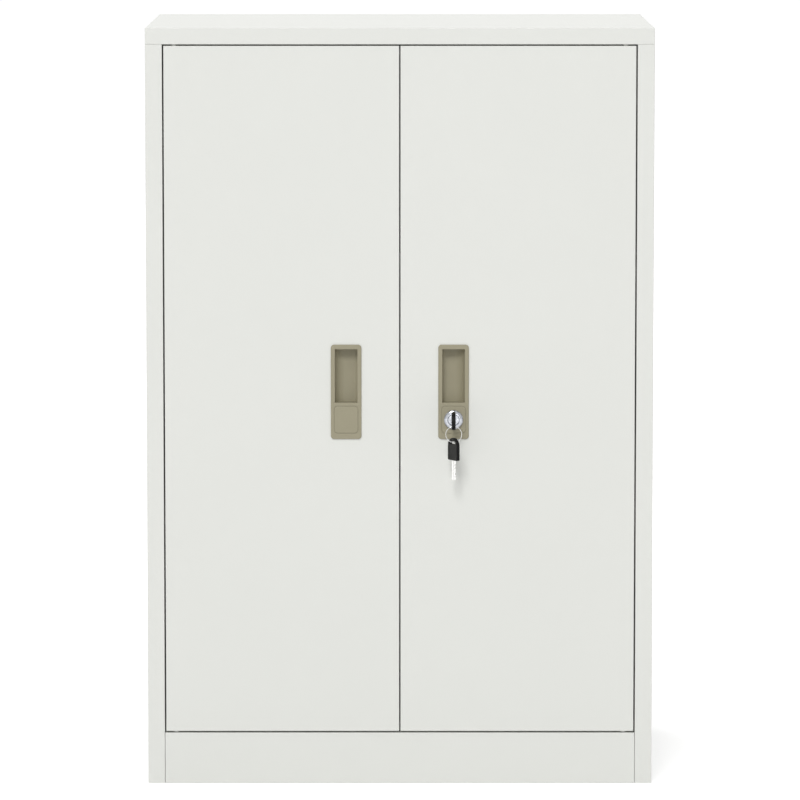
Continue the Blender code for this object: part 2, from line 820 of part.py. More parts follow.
def handle(word, side, parent):
    """A moulded flange with the finger pocket above and a seat for the lock or its blank below."""
    outline = rounded_box(HANDLE_WIDE, HANDLE_TALL, HANDLE_CORNER, (0, HANDLE_TALL / 2))
    flange = plate(outline, HANDLE_PROUD - FIT, at=(0, -(HANDLE_PROUD + FIT) / 2, 0))
    place = (side * HANDLE_X, FRONT, HANDLE_LOW)
    grip = piece(f"{word}_handle", flange, "taupe_plastic", parent, place)
    middle = (0, 0, (MOUTH_LOW + MOUTH_TOP) / 2)
    shell = pocket_plan(side, -HANDLE_PROUD / 2, POCKET_WALL)
    join(grip, plate(shell, MOUTH_TALL + 2 * POCKET_WALL, FLAT, middle))
    near, far = sorted((side * (FIT - BODY_INNER), side * (BODY_OUTER - FIT)))
    top = MOUTH_LOW - POCKET_WALL / 2
    join(grip, blocks(((near, -COVER_SEAT, SEAT_UP), (far, SEAT_BACK, top))))
    hollow = pocket_plan(side, -HANDLE_PROUD - OVERRUN)
    cut(grip, plate(hollow, MOUTH_TALL, FLAT, middle))
    recess = rounded_box(COVER_WIDE + 2 * FIT, COVER_TALL + 2 * FIT, COVER_CORNER + FIT, (0, LOCK_UP))
    outside = -HANDLE_PROUD - OVERRUN
    cut(grip, plate(recess, COVER_SINK + OVERRUN, at=(0, (outside - COVER_SEAT) / 2, 0)))
    if side > 0:
        cut(grip, rod(BARREL + FIT, (0, outside, LOCK_UP), (0, SEAT_BACK + OVERRUN, LOCK_UP)))
    else:
        low = (near + POCKET_WALL, POCKET_WALL - COVER_SEAT, SEAT_UP + POCKET_WALL)
        high = (far - POCKET_WALL, SEAT_BACK + OVERRUN, MOUTH_LOW - 2 * POCKET_WALL)
        cut(grip, blocks((low, high)))
    cover(word, side, parent)


def cover(word, side, parent):
    """A thin plate in the recess under the pocket, blank on one door and round the lock on the other."""
    outline = rounded_box(COVER_WIDE, COVER_TALL, COVER_CORNER)
    holes = [circle(BARREL + FIT)] if side > 0 else []
    middle = (0, -COVER_SEAT - FIT - COVER_THICK / 2, 0)
    shape = plate(outline, COVER_THICK, at=middle, holes=holes)
    piece(f"{word}_handle_cover", shape, "taupe_plastic", parent, (side * HANDLE_X, FRONT, LOCK_Z))


def door(word, side, parent):
    door_panel(word, side, parent)
    stiffener(word, side, parent)
    handle(word, side, parent)
    pivot(f"{word}_top_pivot", side, DOOR_TOP, UNTURNED, parent)
    pivot(f"{word}_bottom_pivot", side, DOOR_LOW, UPSIDE_DOWN, parent)
    bush(f"{word}_top_bush", side, LEDGE, UNTURNED)
    bush(f"{word}_bottom_bush", side, PLINTH, UPSIDE_DOWN)


# Lock and rods. Their local axes are x across, y up and z towards the front, from the lock's centre


def lock_body(parent):
    """Collar and barrel through the handle, held by a six-sided nut behind it."""
    bore = PLUG + FIT
    profile = (
        (bore, COLLAR_FRONT),
        (COLLAR - COLLAR_CHAMFER, COLLAR_FRONT),
        (COLLAR, COLLAR_FRONT - COLLAR_CHAMFER),
        (COLLAR, COLLAR_BACK),
        (BARREL, COLLAR_BACK),
        (BARREL, -BARREL_END),
        (bore, -BARREL_END),
    )
    turned("lock_barrel", profile, "bright_chrome", parent, LOCK_PLACE, FACING_FRONT, bored=True)
    middle = (0, 0, -SEAT_BACK - FIT - NUT_THICK / 2)
    nut = plate(circle(NUT, steps=6), NUT_THICK, FLAT, middle, holes=[circle(BARREL + FIT)])
    piece("lock_nut", nut, "zinc_plate", parent, LOCK_PLACE, FACING_FRONT)


def lock_core(parent):
    """The plug with its keyway, the lever on its tail and the screw that holds the lever."""
    face = COLLAR_FRONT + PLUG_PROUD
    profile = (
        (0, face),
        (PLUG, face),
        (PLUG, -BARREL_END),
        (TAIL, -BARREL_END),
        (TAIL, -LEVER_BACK),
        (0, -LEVER_BACK),
    )
    plug = turned("lock_plug", profile, "bright_chrome", parent, LOCK_PLACE, FACING_FRONT)
    half_thick, half_wide = BLADE_THICK / 2 + FIT, BLADE_WIDE / 2 + FIT
    low = (-half_thick, -half_wide, -KEYWAY_DEPTH)
    cut(plug, blocks((low, (half_thick, half_wide, face + OVERRUN))))
    head = LEVER_BACK + FIT
    tip = head - SCREW_LONG
    cut(plug, rod(SCREW_SHANK + FIT, (0, 0, FIT - tip), (0, 0, -LEVER_BACK - OVERRUN)))
    rod_driver(parent)
    profile = (
        (0, -tip),
        (SCREW_SHANK, -tip),
        (SCREW_SHANK, -head),
        (SCREW_HEAD, -head),
        (SCREW_HEAD, -head - SCREW_HEAD_THICK),
        (0, -head - SCREW_HEAD_THICK),
    )
    turned("driver_screw", profile, "zinc_plate", parent, LOCK_PLACE, FACING_FRONT)


def rod_driver(parent):
    """A lever with a stud at each end, one for each rod."""
    ends = [(STUD_SIDE, STUD_RISE), (-STUD_SIDE, -STUD_RISE)]
    outline = []
    for turn, end in enumerate(ends):
        start = STUD_DEGREES - 90 + 180 * turn
        outline += arc(end, LEVER_END, start, start + 180)
    middle = -(LEVER_FRONT + LEVER_BACK) / 2
    shape = plate(outline, LEVER_THICK, FLAT, (0, 0, middle), holes=[circle(TAIL + FIT)])
    driver = piece("rod_driver", shape, "zinc_plate", parent, LOCK_PLACE, FACING_FRONT)
    for across, up in ends:
        join(driver, rod(STUD, (across, up, middle), (across, up, -LEVER_BACK - STUD_LONG)))


def rods(upper, lower):
    """Each rod ends in a fork round its own stud, and a bridge brings the upper one to the lower's line."""
    slot_end = STUD_ORBIT + STUD + FORK_STUD_ROOM
    far = slot_end + FORK_WEB
    jaw = STUD + FORK_PLAY
    out = jaw + FORK_PRONG
    middle = (0, 0, -FORK_FRONT - FORK_THICK / 2)
    jaws = [(FORK_START, out), (FORK_START, jaw), (slot_end, jaw), (slot_end, -jaw), (FORK_START, -jaw)]
    outline = [*jaws, (FORK_START, -out), (far, -out), (far, out)]
    shape = plate([(across, STUD_RISE + up) for across, up in outline], FORK_THICK, FLAT, middle)
    obj = piece("lower_rod", shape, "zinc_plate", lower, LOCK_PLACE, FACING_FRONT)
    top = STUD_RISE - jaw - FIT
    end = DOOR_LOW - ROD_SHOWS - LOCK_Z
    join(obj, rod(ROD, (ROD_OUT, top, -ROD_BACK), (ROD_OUT, end, -ROD_BACK)))
    bridge = STUD_RISE + out + BRIDGE_CLEAR
    outline = [(-across, up - STUD_RISE) for across, up in jaws]
    outline += [(-FORK_START, -STUD_RISE - out), (-far, -STUD_RISE - out), (-far, bridge + BRIDGE_TALL)]
    outline += [(ROD_OUT + ROD, bridge + BRIDGE_TALL), (ROD_OUT + ROD, bridge), (-slot_end, bridge)]
    outline += [(-slot_end, out - STUD_RISE)]
    shape = plate(outline, FORK_THICK, FLAT, middle)
    obj = piece("upper_rod", shape, "zinc_plate", upper, LOCK_PLACE, FACING_FRONT)
    start = bridge + BRIDGE_TALL / 2
    end = DOOR_TOP + ROD_SHOWS - LOCK_Z
    join(obj, rod(ROD, (ROD_OUT, start, -ROD_BACK), (ROD_OUT, end, -ROD_BACK)))


def rod_guide(name, level, parent):
    """A saddle on the door's lip, round the rod."""
    hoop = ROD + FIT + GUIDE_WALL
    foot = DOOR_BACK + GUIDE_FOOT
    outline = [
        (-GUIDE_WIDE / 2, DOOR_BACK),
        (GUIDE_WIDE / 2, DOOR_BACK),
        (GUIDE_WIDE / 2, foot),
        (hoop, foot),
        *arc((0, ROD_BACK), hoop, 0, 180),
        (-hoop, foot),
        (-GUIDE_WIDE / 2, foot),
    ]
    hole = circle(ROD + FIT, (0, ROD_BACK))
    shape = plate(outline, GUIDE_TALL, FLAT, holes=[hole])
    piece(name, shape, "white_nylon", parent, (ROD_X, FRONT, level))


# Keys. Local z runs from the blade to the tip of the head, y across the head and x through it


def head_mesh():
    """A dome-ended bow with a long eye."""
    half = HEAD_WIDE / 2
    shoulder = KEY_TIP - HEAD_DOME
    low = KEY_STANDOFF + HEAD_CORNER
    unit = arc((0, 0), 1, 0, 180, ROUND_STEPS // 2)
    outline = [
        *arc((half - HEAD_CORNER, low), HEAD_CORNER, -90, 0),
        *[(half * across, shoulder + HEAD_DOME * up) for across, up in unit],
        *arc((HEAD_CORNER - half, low), HEAD_CORNER, 180, 270),
    ]
    eye = rounded_box(EYE_LONG, EYE_WIDE, EYE_WIDE / 2 - FIT, (0, EYE_OUT))
    return plate(outline, HEAD_THICK, EDGEWAYS, holes=[eye])


def blade_mesh():
    """A flat blade with its bitting cut into one edge."""
    half = BLADE_WIDE / 2
    top = KEY_STANDOFF + BLADE_TANG
    nose = BLADE_TIP - BLADE_IN_LOCK
    outline = [(half - BLADE_TIP, -BLADE_IN_LOCK), (half, nose), (half, top), (-half, top)]
    for along_share, depth_share in reversed(NOTCH_SHARES):
        middle = (BLADE_IN_LOCK + COLLAR_FRONT) * along_share - BLADE_IN_LOCK
        outline += [
            (-half, middle + NOTCH_HALF),
            (NOTCH_DEEP * depth_share - half, middle),
            (-half, middle - NOTCH_HALF),
        ]
    outline += [(-half, nose), (BLADE_TIP - half, -BLADE_IN_LOCK)]
    return plate(outline, BLADE_THICK, EDGEWAYS)


def key(prefix, parent, head, blade, place, turn):
    """One key: the tang of its blade lies in a socket in the head."""
    bow = piece(f"{prefix}key_head", head, "dark_plastic", parent, place, turn)
    half_thick, half_wide = BLADE_THICK / 2 + FIT, BLADE_WIDE / 2 + FIT
    low = (-half_thick, -half_wide, KEY_STANDOFF - OVERRUN)
    high = (half_thick, half_wide, KEY_STANDOFF + BLADE_TANG + FIT)
    cut(bow, blocks((low, high)))
    piece(f"{prefix}key_blade", blade, "polished_steel", parent, place, turn)


def keys(in_lock, on_ring, hanging):
    head, blade = head_mesh(), blade_mesh()
    key("", in_lock, head, blade, LOCK_PLACE, FACING_FRONT)
    spare_place = (HANDLE_X, FRONT - EYE_OUT, SPARE_EYE_Z - EYE_OUT)
    key("spare_", hanging, head, blade, spare_place, (0, 0, SPARE_TURN))
    wire = [(RING + across, up) for up, across in arc((0, 0), RING_WIRE, 0, 360, RING_WIRE_STEPS)[:-1]]
    place = (HANDLE_X, FRONT - EYE_OUT, RING_Z)
    turned("key_ring", wire, "polished_steel", on_ring, place, FACING_FRONT, bored=True)


# The cabinet


def carcass():
    for word, side in SIDES.items():
        side_panel(f"{word}_side_panel", side)
    top_panel()
    door_stop()
    plinth()
    floor_panel()
    back_panel()
    shelves()
    closing_parts()


def left_door():
    axis = carrier("left_door_axis", (-PIVOT_X, FRONT + PIVOT_BACK, DOOR_LOW))
    door("left", -1, axis)


def right_door():
    axis = carrier("right_door_axis", (PIVOT_X, FRONT + PIVOT_BACK, DOOR_LOW))
    door("right", 1, axis)
    lock_body(axis)
    rod_guide("upper_rod_guide", DOOR_TOP - DOOR_LIP / 2, axis)
    rod_guide("lower_rod_guide", DOOR_LOW + DOOR_LIP / 2, axis)
    core = carrier("lock_axis", LOCK_PLACE, axis)
    lock_core(core)
    upper = carrier("upper_rod_slide", (ROD_X, FRONT + ROD_BACK, DOOR_TOP), axis)
    lower = carrier("lower_rod_slide", (ROD_X, FRONT + ROD_BACK, DOOR_LOW), axis)
    rods(upper, lower)
    in_lock = carrier("key_slide", LOCK_PLACE, core)
    on_ring = carrier("ring_swing_axis", (HANDLE_X, FRONT - EYE_OUT, LOCK_Z - EYE_LOW), in_lock)
    hanging = carrier("spare_key_axis", (HANDLE_X, FRONT - EYE_OUT, RING_Z), on_ring)
    keys(in_lock, on_ring, hanging)


clear_scene()
PARTS = new_collection("storage_cabinet")
CUTTERS = new_collection("cutters")
CUTTERS.hide_render = True
SIDES = {"left": -1, "right": 1}
LOCK_PLACE = (HANDLE_X, FRONT, LOCK_Z)
carcass()
left_door()
right_door()
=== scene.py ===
# %% [markdown]
# # A two-door steel storage cabinet
#
# The real one is a case of thin folded steel with two doors on pins, a moulded handle in each door,
# and a lock in the right handle with its key and a spare. This script dresses the working model of
# that cabinet: it loads the model as a fixed frame, makes each visible piece again with finer
# shapes, gives every piece a finish, and sets up a plain studio. All lengths are metres. The
# cabinet faces -Y and +Z is up.

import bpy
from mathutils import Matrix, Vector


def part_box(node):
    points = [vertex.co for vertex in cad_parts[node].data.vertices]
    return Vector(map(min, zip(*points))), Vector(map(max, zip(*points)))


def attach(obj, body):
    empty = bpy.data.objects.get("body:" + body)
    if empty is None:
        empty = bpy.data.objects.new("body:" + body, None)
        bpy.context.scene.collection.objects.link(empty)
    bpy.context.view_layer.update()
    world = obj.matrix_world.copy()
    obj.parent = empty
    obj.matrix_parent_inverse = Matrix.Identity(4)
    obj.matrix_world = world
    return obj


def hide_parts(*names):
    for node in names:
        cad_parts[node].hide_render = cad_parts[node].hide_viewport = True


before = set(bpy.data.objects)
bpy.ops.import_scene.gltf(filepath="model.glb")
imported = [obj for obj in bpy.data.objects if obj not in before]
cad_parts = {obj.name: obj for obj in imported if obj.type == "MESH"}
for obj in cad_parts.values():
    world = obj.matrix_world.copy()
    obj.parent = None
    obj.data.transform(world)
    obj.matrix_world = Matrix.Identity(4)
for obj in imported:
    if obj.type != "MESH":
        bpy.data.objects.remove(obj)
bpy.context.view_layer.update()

import math

import bmesh
import bpy
from mathutils import Matrix, Vector

print("nodes:", len(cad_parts))

# %% [markdown]
# ## Measures
#
# A piece that is made again has to sit where the working model has it, so places come from the
# model's own boxes. `FRONT` is the plane of the door faces, and most shapes are drawn by their
# depth behind it. The sheet's thickness and the radius of its folds are the same all over the
# cabinet, because one machine folds all of it. `FIT` is the play between pieces that meet, and
# cutters run past what they cut by `OVERRUN`.

# %% Measures that everything shares
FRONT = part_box("left_door_panel")[0].y
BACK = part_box("top_panel")[1].y
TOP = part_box("top_panel")[1].z
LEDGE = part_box("top_panel")[0].z
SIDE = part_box("right_side_panel")[1].x
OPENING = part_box("right_side_panel")[0].x
SHEET = 0.0007
BEND = 0.0008
BEND_STEPS = 5
FIT = 0.0003
MERGE = 0.000001
OVERRUN = 0.002
ROUND = 48
SIDES = {"left": -1, "right": 1}
RIGHT = Vector((1, 0, 0))
REAR = Vector((0, 1, 0))
UP = Vector((0, 0, 1))


def middle_of(node):
    low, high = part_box(node)
    return (low + high) / 2


LOCK = middle_of("lock_barrel")
LOCK.y = FRONT
print("front", round(FRONT, 5), "ledge", round(LEDGE, 5))
print("lock", tuple(round(c, 5) for c in LOCK))

# %% [markdown]
# ## Shape helpers
#
# Nearly every piece starts as one of three things: a box, a bent strip or a profile that is spun
# round an axis. The helpers below make these with bmesh operators, so that each piece later takes
# only a few lines. A cut or a join runs as a Boolean modifier on two passing objects, and its
# result goes back into a bmesh.

# %% Moves and splits
def shift(bm, way, verts=None):
    bmesh.ops.translate(bm, vec=way, verts=bm.verts if verts is None else verts)


def turn(bm, degrees, axis, centre=(0, 0, 0)):
    matrix = Matrix.Rotation(math.radians(degrees), 3, axis)
    bmesh.ops.rotate(bm, cent=centre, matrix=matrix, verts=bm.verts)


def split(bm, place, across, geom=None):
    """Splits the faces along a plane: all of them, or those given."""
    parts = geom or bm.verts[:] + bm.edges[:] + bm.faces[:]
    bmesh.ops.bisect_plane(bm, geom=parts, plane_co=place, plane_no=across)


def shift_extruded(bm, made, way):
    """Moves the corners that an extrusion has just made."""
    shift(bm, way, [part for part in made["geom"] if isinstance(part, bmesh.types.BMVert)])

# %% Boxes and picked faces
def at(x, depth, z):
    """A point by its depth behind the door faces."""
    return Vector((x, FRONT + depth, z))


def box(start, end):
    """A box between any two opposite corners."""
    low = Vector([*map(min, start, end)])
    high = Vector([*map(max, start, end)])
    bm = bmesh.new()
    bmesh.ops.create_cube(bm, size=1)
    bmesh.ops.scale(bm, vec=high - low, verts=bm.verts)
    shift(bm, (low + high) / 2)
    return bm


def block(middle, half, front=0.0, rear=0.0):
    """A box by its middle and half sizes, with what it gains in front and behind."""
    return box(middle - half - front * REAR, middle + half + rear * REAR)


def facing(bm, way):
    """The faces that look one way."""
    bm.normal_update()
    return [face for face in bm.faces if face.normal.dot(way) > 0.999]


def furthest(bm, way):
    """Of the faces that look one way, the one that lies furthest that way."""
    return max(facing(bm, way), key=lambda face: face.calc_center_median().dot(way))

# %% Rounding
def bevel(bm, edges, radius, steps=3):
    bmesh.ops.bevel(
        bm,
        geom=edges,
        offset=radius,
        offset_type="OFFSET",
        segments=steps,
        profile=0.5,
        affect="EDGES",
        clamp_overlap=True,
        material=-1,
    )


def bevel_along(bm, way, radius, steps=3, test=lambda middle: True):
    """Rounds the edges that run one way and whose middle passes a test."""
    picked = []
    for edge in bm.edges:
        start, end = (corner.co for corner in edge.verts)
        run = (end - start).normalized()
        if abs(run.dot(way)) > 0.999 and test((start + end) / 2):
            picked.append(edge)
    bevel(bm, picked, radius, steps)


def edges_sharper_than(bm, degrees):
    bm.normal_update()
    shared = [edge for edge in bm.edges if len(edge.link_faces) == 2]
    return [edge for edge in shared if abs(edge.calc_face_angle(0)) > math.radians(degrees)]


def soften(bm, radius, steps=2, above=40):
    """Rounds every edge that is sharper than an angle."""
    bmesh.ops.remove_doubles(bm, verts=bm.verts, dist=MERGE)
    flat = math.radians(0.5)
    bmesh.ops.dissolve_limit(bm, angle_limit=flat, verts=bm.verts, edges=bm.edges)
    bevel(bm, edges_sharper_than(bm, above), radius, steps)
    return bm

# %% Passing objects, cuts and joins
def linked(name, data):
    obj = bpy.data.objects.new(name, data)
    bpy.context.scene.collection.objects.link(obj)
    return obj


def to_object(name, bm):
    """Moves a shape out of its bmesh into an object of the scene."""
    mesh = bpy.data.meshes.new(name)
    bm.to_mesh(mesh)
    bm.free()
    return linked(name, mesh)


def discard(obj):
    mesh = obj.data
    bpy.data.objects.remove(obj)
    bpy.data.meshes.remove(mesh)


def through_modifier(bm, kind, **settings):
    """Sends a shape through one modifier and brings it back."""
    blank = to_object("blank", bm)
    modifier = blank.modifiers.new("step", kind)
    for name, value in settings.items():
        setattr(modifier, name, value)
    made = bmesh.new()
    made.from_object(blank, bpy.context.evaluated_depsgraph_get())
    discard(blank)
    return made


def combine(bm, tools, operation):
    for tool in tools:
        bmesh.ops.recalc_face_normals(tool, faces=tool.faces)
        other = to_object("tool", tool)
        bm = through_modifier(bm, "BOOLEAN", object=other, operation=operation, solver="EXACT")
        discard(other)
    return bm


def cut(bm, *tools):
    return combine(bm, tools, "DIFFERENCE")


def join(bm, *tools):
    return combine(bm, tools, "UNION")

# %% Folded sheet
def give_wall(bm):
    """Gives an open sheet its thickness, inwards from the side that it shows."""
    settings = {"offset": -1, "use_even_offset": True, "use_quality_normals": True}
    return through_modifier(bm, "SOLIDIFY", thickness=SHEET, **settings)


def round_folds(bm, radius=BEND):
    bevel(bm, edges_sharper_than(bm, 30), radius, BEND_STEPS)


def swept(path, run, outside):
    """A path carried along, as an open sheet whose widest face looks outside."""
    bm = bmesh.new()
    corners = [bm.verts.new(point) for point in path]
    for pair in zip(corners, corners[1:]):
        bm.edges.new(pair)
    shift_extruded(bm, bmesh.ops.extrude_edge_only(bm, edges=bm.edges[:]), run)
    bm.normal_update()
    widest = max(bm.faces, key=lambda face: face.calc_area())
    if widest.normal.dot(Vector(outside)) < 0:
        bmesh.ops.reverse_faces(bm, faces=bm.faces)
    return bm


def folded(path, run, outside):
    bm = swept(path, run, outside)
    round_folds(bm)
    return give_wall(bm)


def tray(low, high, opened, lip=0):
    """A folded pan: the side that is opened goes, apart from a lip."""
    bm = box(low, high)
    side = furthest(bm, opened)
    if lip:
        bmesh.ops.inset_region(bm, faces=[side], thickness=lip, use_even_offset=True)
    bmesh.ops.delete(bm, geom=[side], context="FACES")
    round_folds(bm)
    return give_wall(bm)

# %% Turned and flat shapes
def spun(profile, centre, axis, soft=0.0, soft_steps=2, steps=ROUND):
    """A closed profile of (radius, height along the axis) points, spun a full turn."""
    bm = bmesh.new()
    corners = [bm.verts.new((radius, 0, height)) for radius, height in profile]
    for pair in zip(corners, corners[1:] + corners[:1]):
        if pair[0].co.x > 0 or pair[1].co.x > 0:
            bm.edges.new(pair)
    bmesh.ops.spin(
        bm,
        geom=bm.verts[:] + bm.edges[:],
        cent=(0, 0, 0),
        axis=UP,
        dvec=(0, 0, 0),
        angle=math.radians(360),
        steps=steps,
        use_merge=True,
        use_duplicate=False,
    )
    bmesh.ops.remove_doubles(bm, verts=bm.verts, dist=MERGE)
    bmesh.ops.recalc_face_normals(bm, faces=bm.faces)
    if soft:
        soften(bm, soft, soft_steps)
    aim = Vector(axis).to_track_quat("Z", "Y").to_matrix().to_4x4()
    bmesh.ops.transform(bm, matrix=Matrix.Translation(centre) @ aim, verts=bm.verts)
    return bm


def bar(radius, start, end, steps=ROUND, soft=0.0, soft_steps=2):
    """A round bar between two points."""
    start, end = Vector(start), Vector(end)
    long = (end - start).length
    profile = ((0, 0), (radius, 0), (radius, long), (0, long))
    return spun(profile, start, end - start, soft, soft_steps, steps)


def slab(outline, along):
    """A flat outline of points, pushed out along a vector into a solid."""
    bm = bmesh.new()
    face = bm.faces.new([bm.verts.new(point) for point in outline])
    shift_extruded(bm, bmesh.ops.extrude_face_region(bm, geom=[face]), along)
    bmesh.ops.recalc_face_normals(bm, faces=bm.faces)
    return bm


def merged(*shapes):
    """Several closed shapes in one bmesh."""
    whole = bmesh.new()
    mesh = bpy.data.meshes.new("passing")
    for shape in shapes:
        shape.to_mesh(mesh)
        shape.free()
        whole.from_mesh(mesh)
    bpy.data.meshes.remove(mesh)
    return whole

# %% Adding a finished piece
PIECES = []


def add_piece(name, bm, finish, body, nodes=(), smooth_below=35):
    """Makes the object, shades it, hangs it on its body's empty and hides the nodes it stands for.

    A finish is the name of a slot, which is not used, and then the materials that fill it.
    """
    slot, *coats = finish
    bmesh.ops.triangulate(bm, faces=[face for face in bm.faces if len(face.verts) > 4])
    bm.normal_update()
    obj = to_object(name, bm)
    obj.data.shade_smooth()
    obj.data.set_sharp_from_angle(angle=math.radians(smooth_below))
    for coat in coats:
        obj.data.materials.append(coat)
    even = obj.modifiers.new("even shading", "WEIGHTED_NORMAL")
    even.keep_sharp = True
    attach(obj, body)
    if nodes:
        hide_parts(*nodes)
    PIECES.append(obj)
    print(f"{name}: {len(obj.data.polygons)} faces on {body}")

# %% [markdown]
# ## Finishes
#
# Three effects are shared: a slow drift in tone, a fine grain in height, and the wear that shows
# where a finger or a shelf edge rubs. Each is one node group with named sockets, and every finish
# below places the groups with its own values. Stretched one way, the grain gives the rolling marks
# of metal. The shader itself stays in the material.

# %% Node helpers
def new_group(name, inputs, outputs):
    group = bpy.data.node_groups.new(name, "ShaderNodeTree")
    for label, kind, value in inputs:
        kind = f"NodeSocket{kind}"
        socket = group.interface.new_socket(label, in_out="INPUT", socket_type=kind)
        socket.default_value = value
    for label, kind in outputs:
        kind = f"NodeSocket{kind}"
        group.interface.new_socket(label, in_out="OUTPUT", socket_type=kind)
    return group, group.nodes.new("NodeGroupInput"), group.nodes.new("NodeGroupOutput")


def set_inputs(tree, node, values):
    """Fills sockets by their label or number: another socket is linked, a value is set."""
    for label, value in values:
        if isinstance(value, bpy.types.NodeSocket):
            tree.links.new(value, node.inputs[label])
        else:
            node.inputs[label].default_value = value
    return node


def add_node(tree, kind, values=(), **settings):
    node = tree.nodes.new(f"ShaderNode{kind}")
    for name, value in settings.items():
        setattr(node, name, value)
    return set_inputs(tree, node, values)


def maths(tree, operation, *values):
    return add_node(tree, "Math", enumerate(values), operation=operation).outputs[0]


def vectors(tree, operation, *values):
    node = add_node(tree, "VectorMath", enumerate(values), operation=operation)
    plain = operation in ("LENGTH", "DOT_PRODUCT")
    return node.outputs["Value" if plain else "Vector"]


def ranged(tree, value, low, high, out_low, out_high):
    """Stretches a value between two limits to two others."""
    limits = [("From Min", low), ("From Max", high), ("To Min", out_low), ("To Max", out_high)]
    return add_node(tree, "MapRange", [("Value", value), *limits]).outputs["Result"]


def object_place(tree):
    return add_node(tree, "TexCoord").outputs["Object"]


def noise(tree, place, scale, detail, roughness=0.5):
    values = [("Vector", place), ("Scale", scale), ("Detail", detail), ("Roughness", roughness)]
    return add_node(tree, "TexNoise", values).outputs["Fac"]

# %% Tone drift: no real coat is the same shade all over
def make_tone_drift():
    group, given, made = new_group(
        "tone_drift",
        [("Colour", "Color", (0.8, 0.8, 0.8, 1)), ("Scale", "Float", 5), ("Amount", "Float", 0.05)],
        [("Colour", "Color"), ("Mask", "Float")],
    )
    patches = noise(group, object_place(group), given.outputs["Scale"], 4.0)
    doubled = maths(group, "MULTIPLY", maths(group, "SUBTRACT", patches, 0.5), 2.0)
    swing = maths(group, "MULTIPLY_ADD", doubled, given.outputs["Amount"], 1.0)
    values = [(0, given.outputs["Colour"]), ("Scale", swing)]
    shade = add_node(group, "VectorMath", values, operation="SCALE")
    set_inputs(group, made, [("Colour", shade.outputs[0]), ("Mask", patches)])
    return group

# %% Grain: the small hills of a coat or of a mould
def make_grain():
    group, given, made = new_group(
        "fine_grain",
        [("Scale", "Float", 800), ("Roughness", "Float", 0.5), ("Stretch", "Vector", (1, 1, 1))],
        [("Height", "Float"), ("Mask", "Float")],
    )
    values = [("Vector", object_place(group)), ("Scale", given.outputs["Stretch"])]
    laid = add_node(group, "Mapping", values).outputs[0]
    hills = noise(group, laid, given.outputs["Scale"], 3.0, given.outputs["Roughness"])
    mask = ranged(group, hills, 0.35, 0.65, 0.0, 1.0)
    set_inputs(group, made, [("Height", hills), ("Mask", mask)])
    return group

# %% Worn edges: a rounded normal differs from the true one only close to an edge
def make_worn_edges():
    group, given, made = new_group(
        "worn_edges",
        [("Radius", "Float", 0.001), ("Breakup", "Float", 300)],
        [("Mask", "Float")],
    )
    radius = [("Radius", given.outputs["Radius"])]
    soft = add_node(group, "Bevel", radius, samples=4).outputs[0]
    true = add_node(group, "NewGeometry").outputs["Normal"]
    likeness = vectors(group, "DOT_PRODUCT", soft, true)
    edge = ranged(group, likeness, 0.99, 0.75, 0.0, 1.0)
    patches = noise(group, object_place(group), given.outputs["Breakup"], 4.0)
    share = ranged(group, patches, 0.3, 0.7, 0.2, 1.0)
    set_inputs(group, made, [("Mask", maths(group, "MULTIPLY", edge, share))])
    return group


TONE_DRIFT = make_tone_drift()
GRAIN = make_grain()
WORN_EDGES = make_worn_edges()
print("node groups:", TONE_DRIFT.name, GRAIN.name, WORN_EDGES.name)

# %% What every finish starts from
class Finish:
    """A material with its shader, and short ways to place the shared groups in it."""

    def __init__(self, name, roughness, metallic=0.0):
        self.material = bpy.data.materials.new(name)
        self.material.use_nodes = True
        self.tree = self.material.node_tree
        self.shader = self.tree.nodes["Principled BSDF"]
        self.set(Roughness=roughness, Metallic=metallic)

    def set(self, **values):
        set_inputs(self.tree, self.shader, values.items())

    def feed(self, socket, label):
        self.tree.links.new(socket, self.shader.inputs[label])

    def place(self, group, **values):
        node = self.tree.nodes.new("ShaderNodeGroup")
        node.node_tree = group
        return set_inputs(self.tree, node, values.items())

    def colour(self, colour, scale, amount):
        drift = self.place(TONE_DRIFT, Colour=(*colour, 1), Scale=scale, Amount=amount)
        self.material.diffuse_color = (*colour, 1)
        self.feed(drift.outputs["Colour"], "Base Color")
        return drift

    def blend(self, mask, first, second):
        """Gives the shader its colour, from a socket to a plain colour by a mask."""
        mix = add_node(self.tree, "Mix", [("Factor", mask)], data_type="RGBA")
        ends = {socket.name: socket for socket in mix.inputs if socket.type == "RGBA"}
        self.tree.links.new(first, ends["A"])
        ends["B"].default_value = (*second, 1)
        self.feed([socket for socket in mix.outputs if socket.type == "RGBA"][0], "Base Color")

    def wear(self, drift, radius, breakup, worn, most):
        """Shows another colour along the edges."""
        edges = self.place(WORN_EDGES, Radius=radius, Breakup=breakup)
        share = ranged(self.tree, edges.outputs["Mask"], 0.0, 1.0, 0.0, most)
        self.blend(share, drift.outputs["Colour"], worn)

    def vary_roughness(self, grain, least, most):
        self.feed(ranged(self.tree, grain.outputs["Mask"], 0.0, 1.0, least, most), "Roughness")

    def bump(self, grain, distance, strength, under=None):
        values = [("Height", grain.outputs["Height"]), ("Distance", distance)]
        values.append(("Strength", strength))
        if under:
            values.append(("Normal", under))
        return add_node(self.tree, "Bump", values).outputs[0]

# %% [markdown]
# ### Powder coat
#
# The steel is sprayed with a dry powder that melts into one skin. Close up the skin has a low swell
# about a millimetre across, called orange peel, with finer pits on it, and it thins a little over
# sharp folds. Two grains feed one bump, and the folds get a slightly lighter coat.

# %% Powder coat
COAT_COLOUR = (0.775, 0.783, 0.745)
FOLD_LIGHTER = 1.05

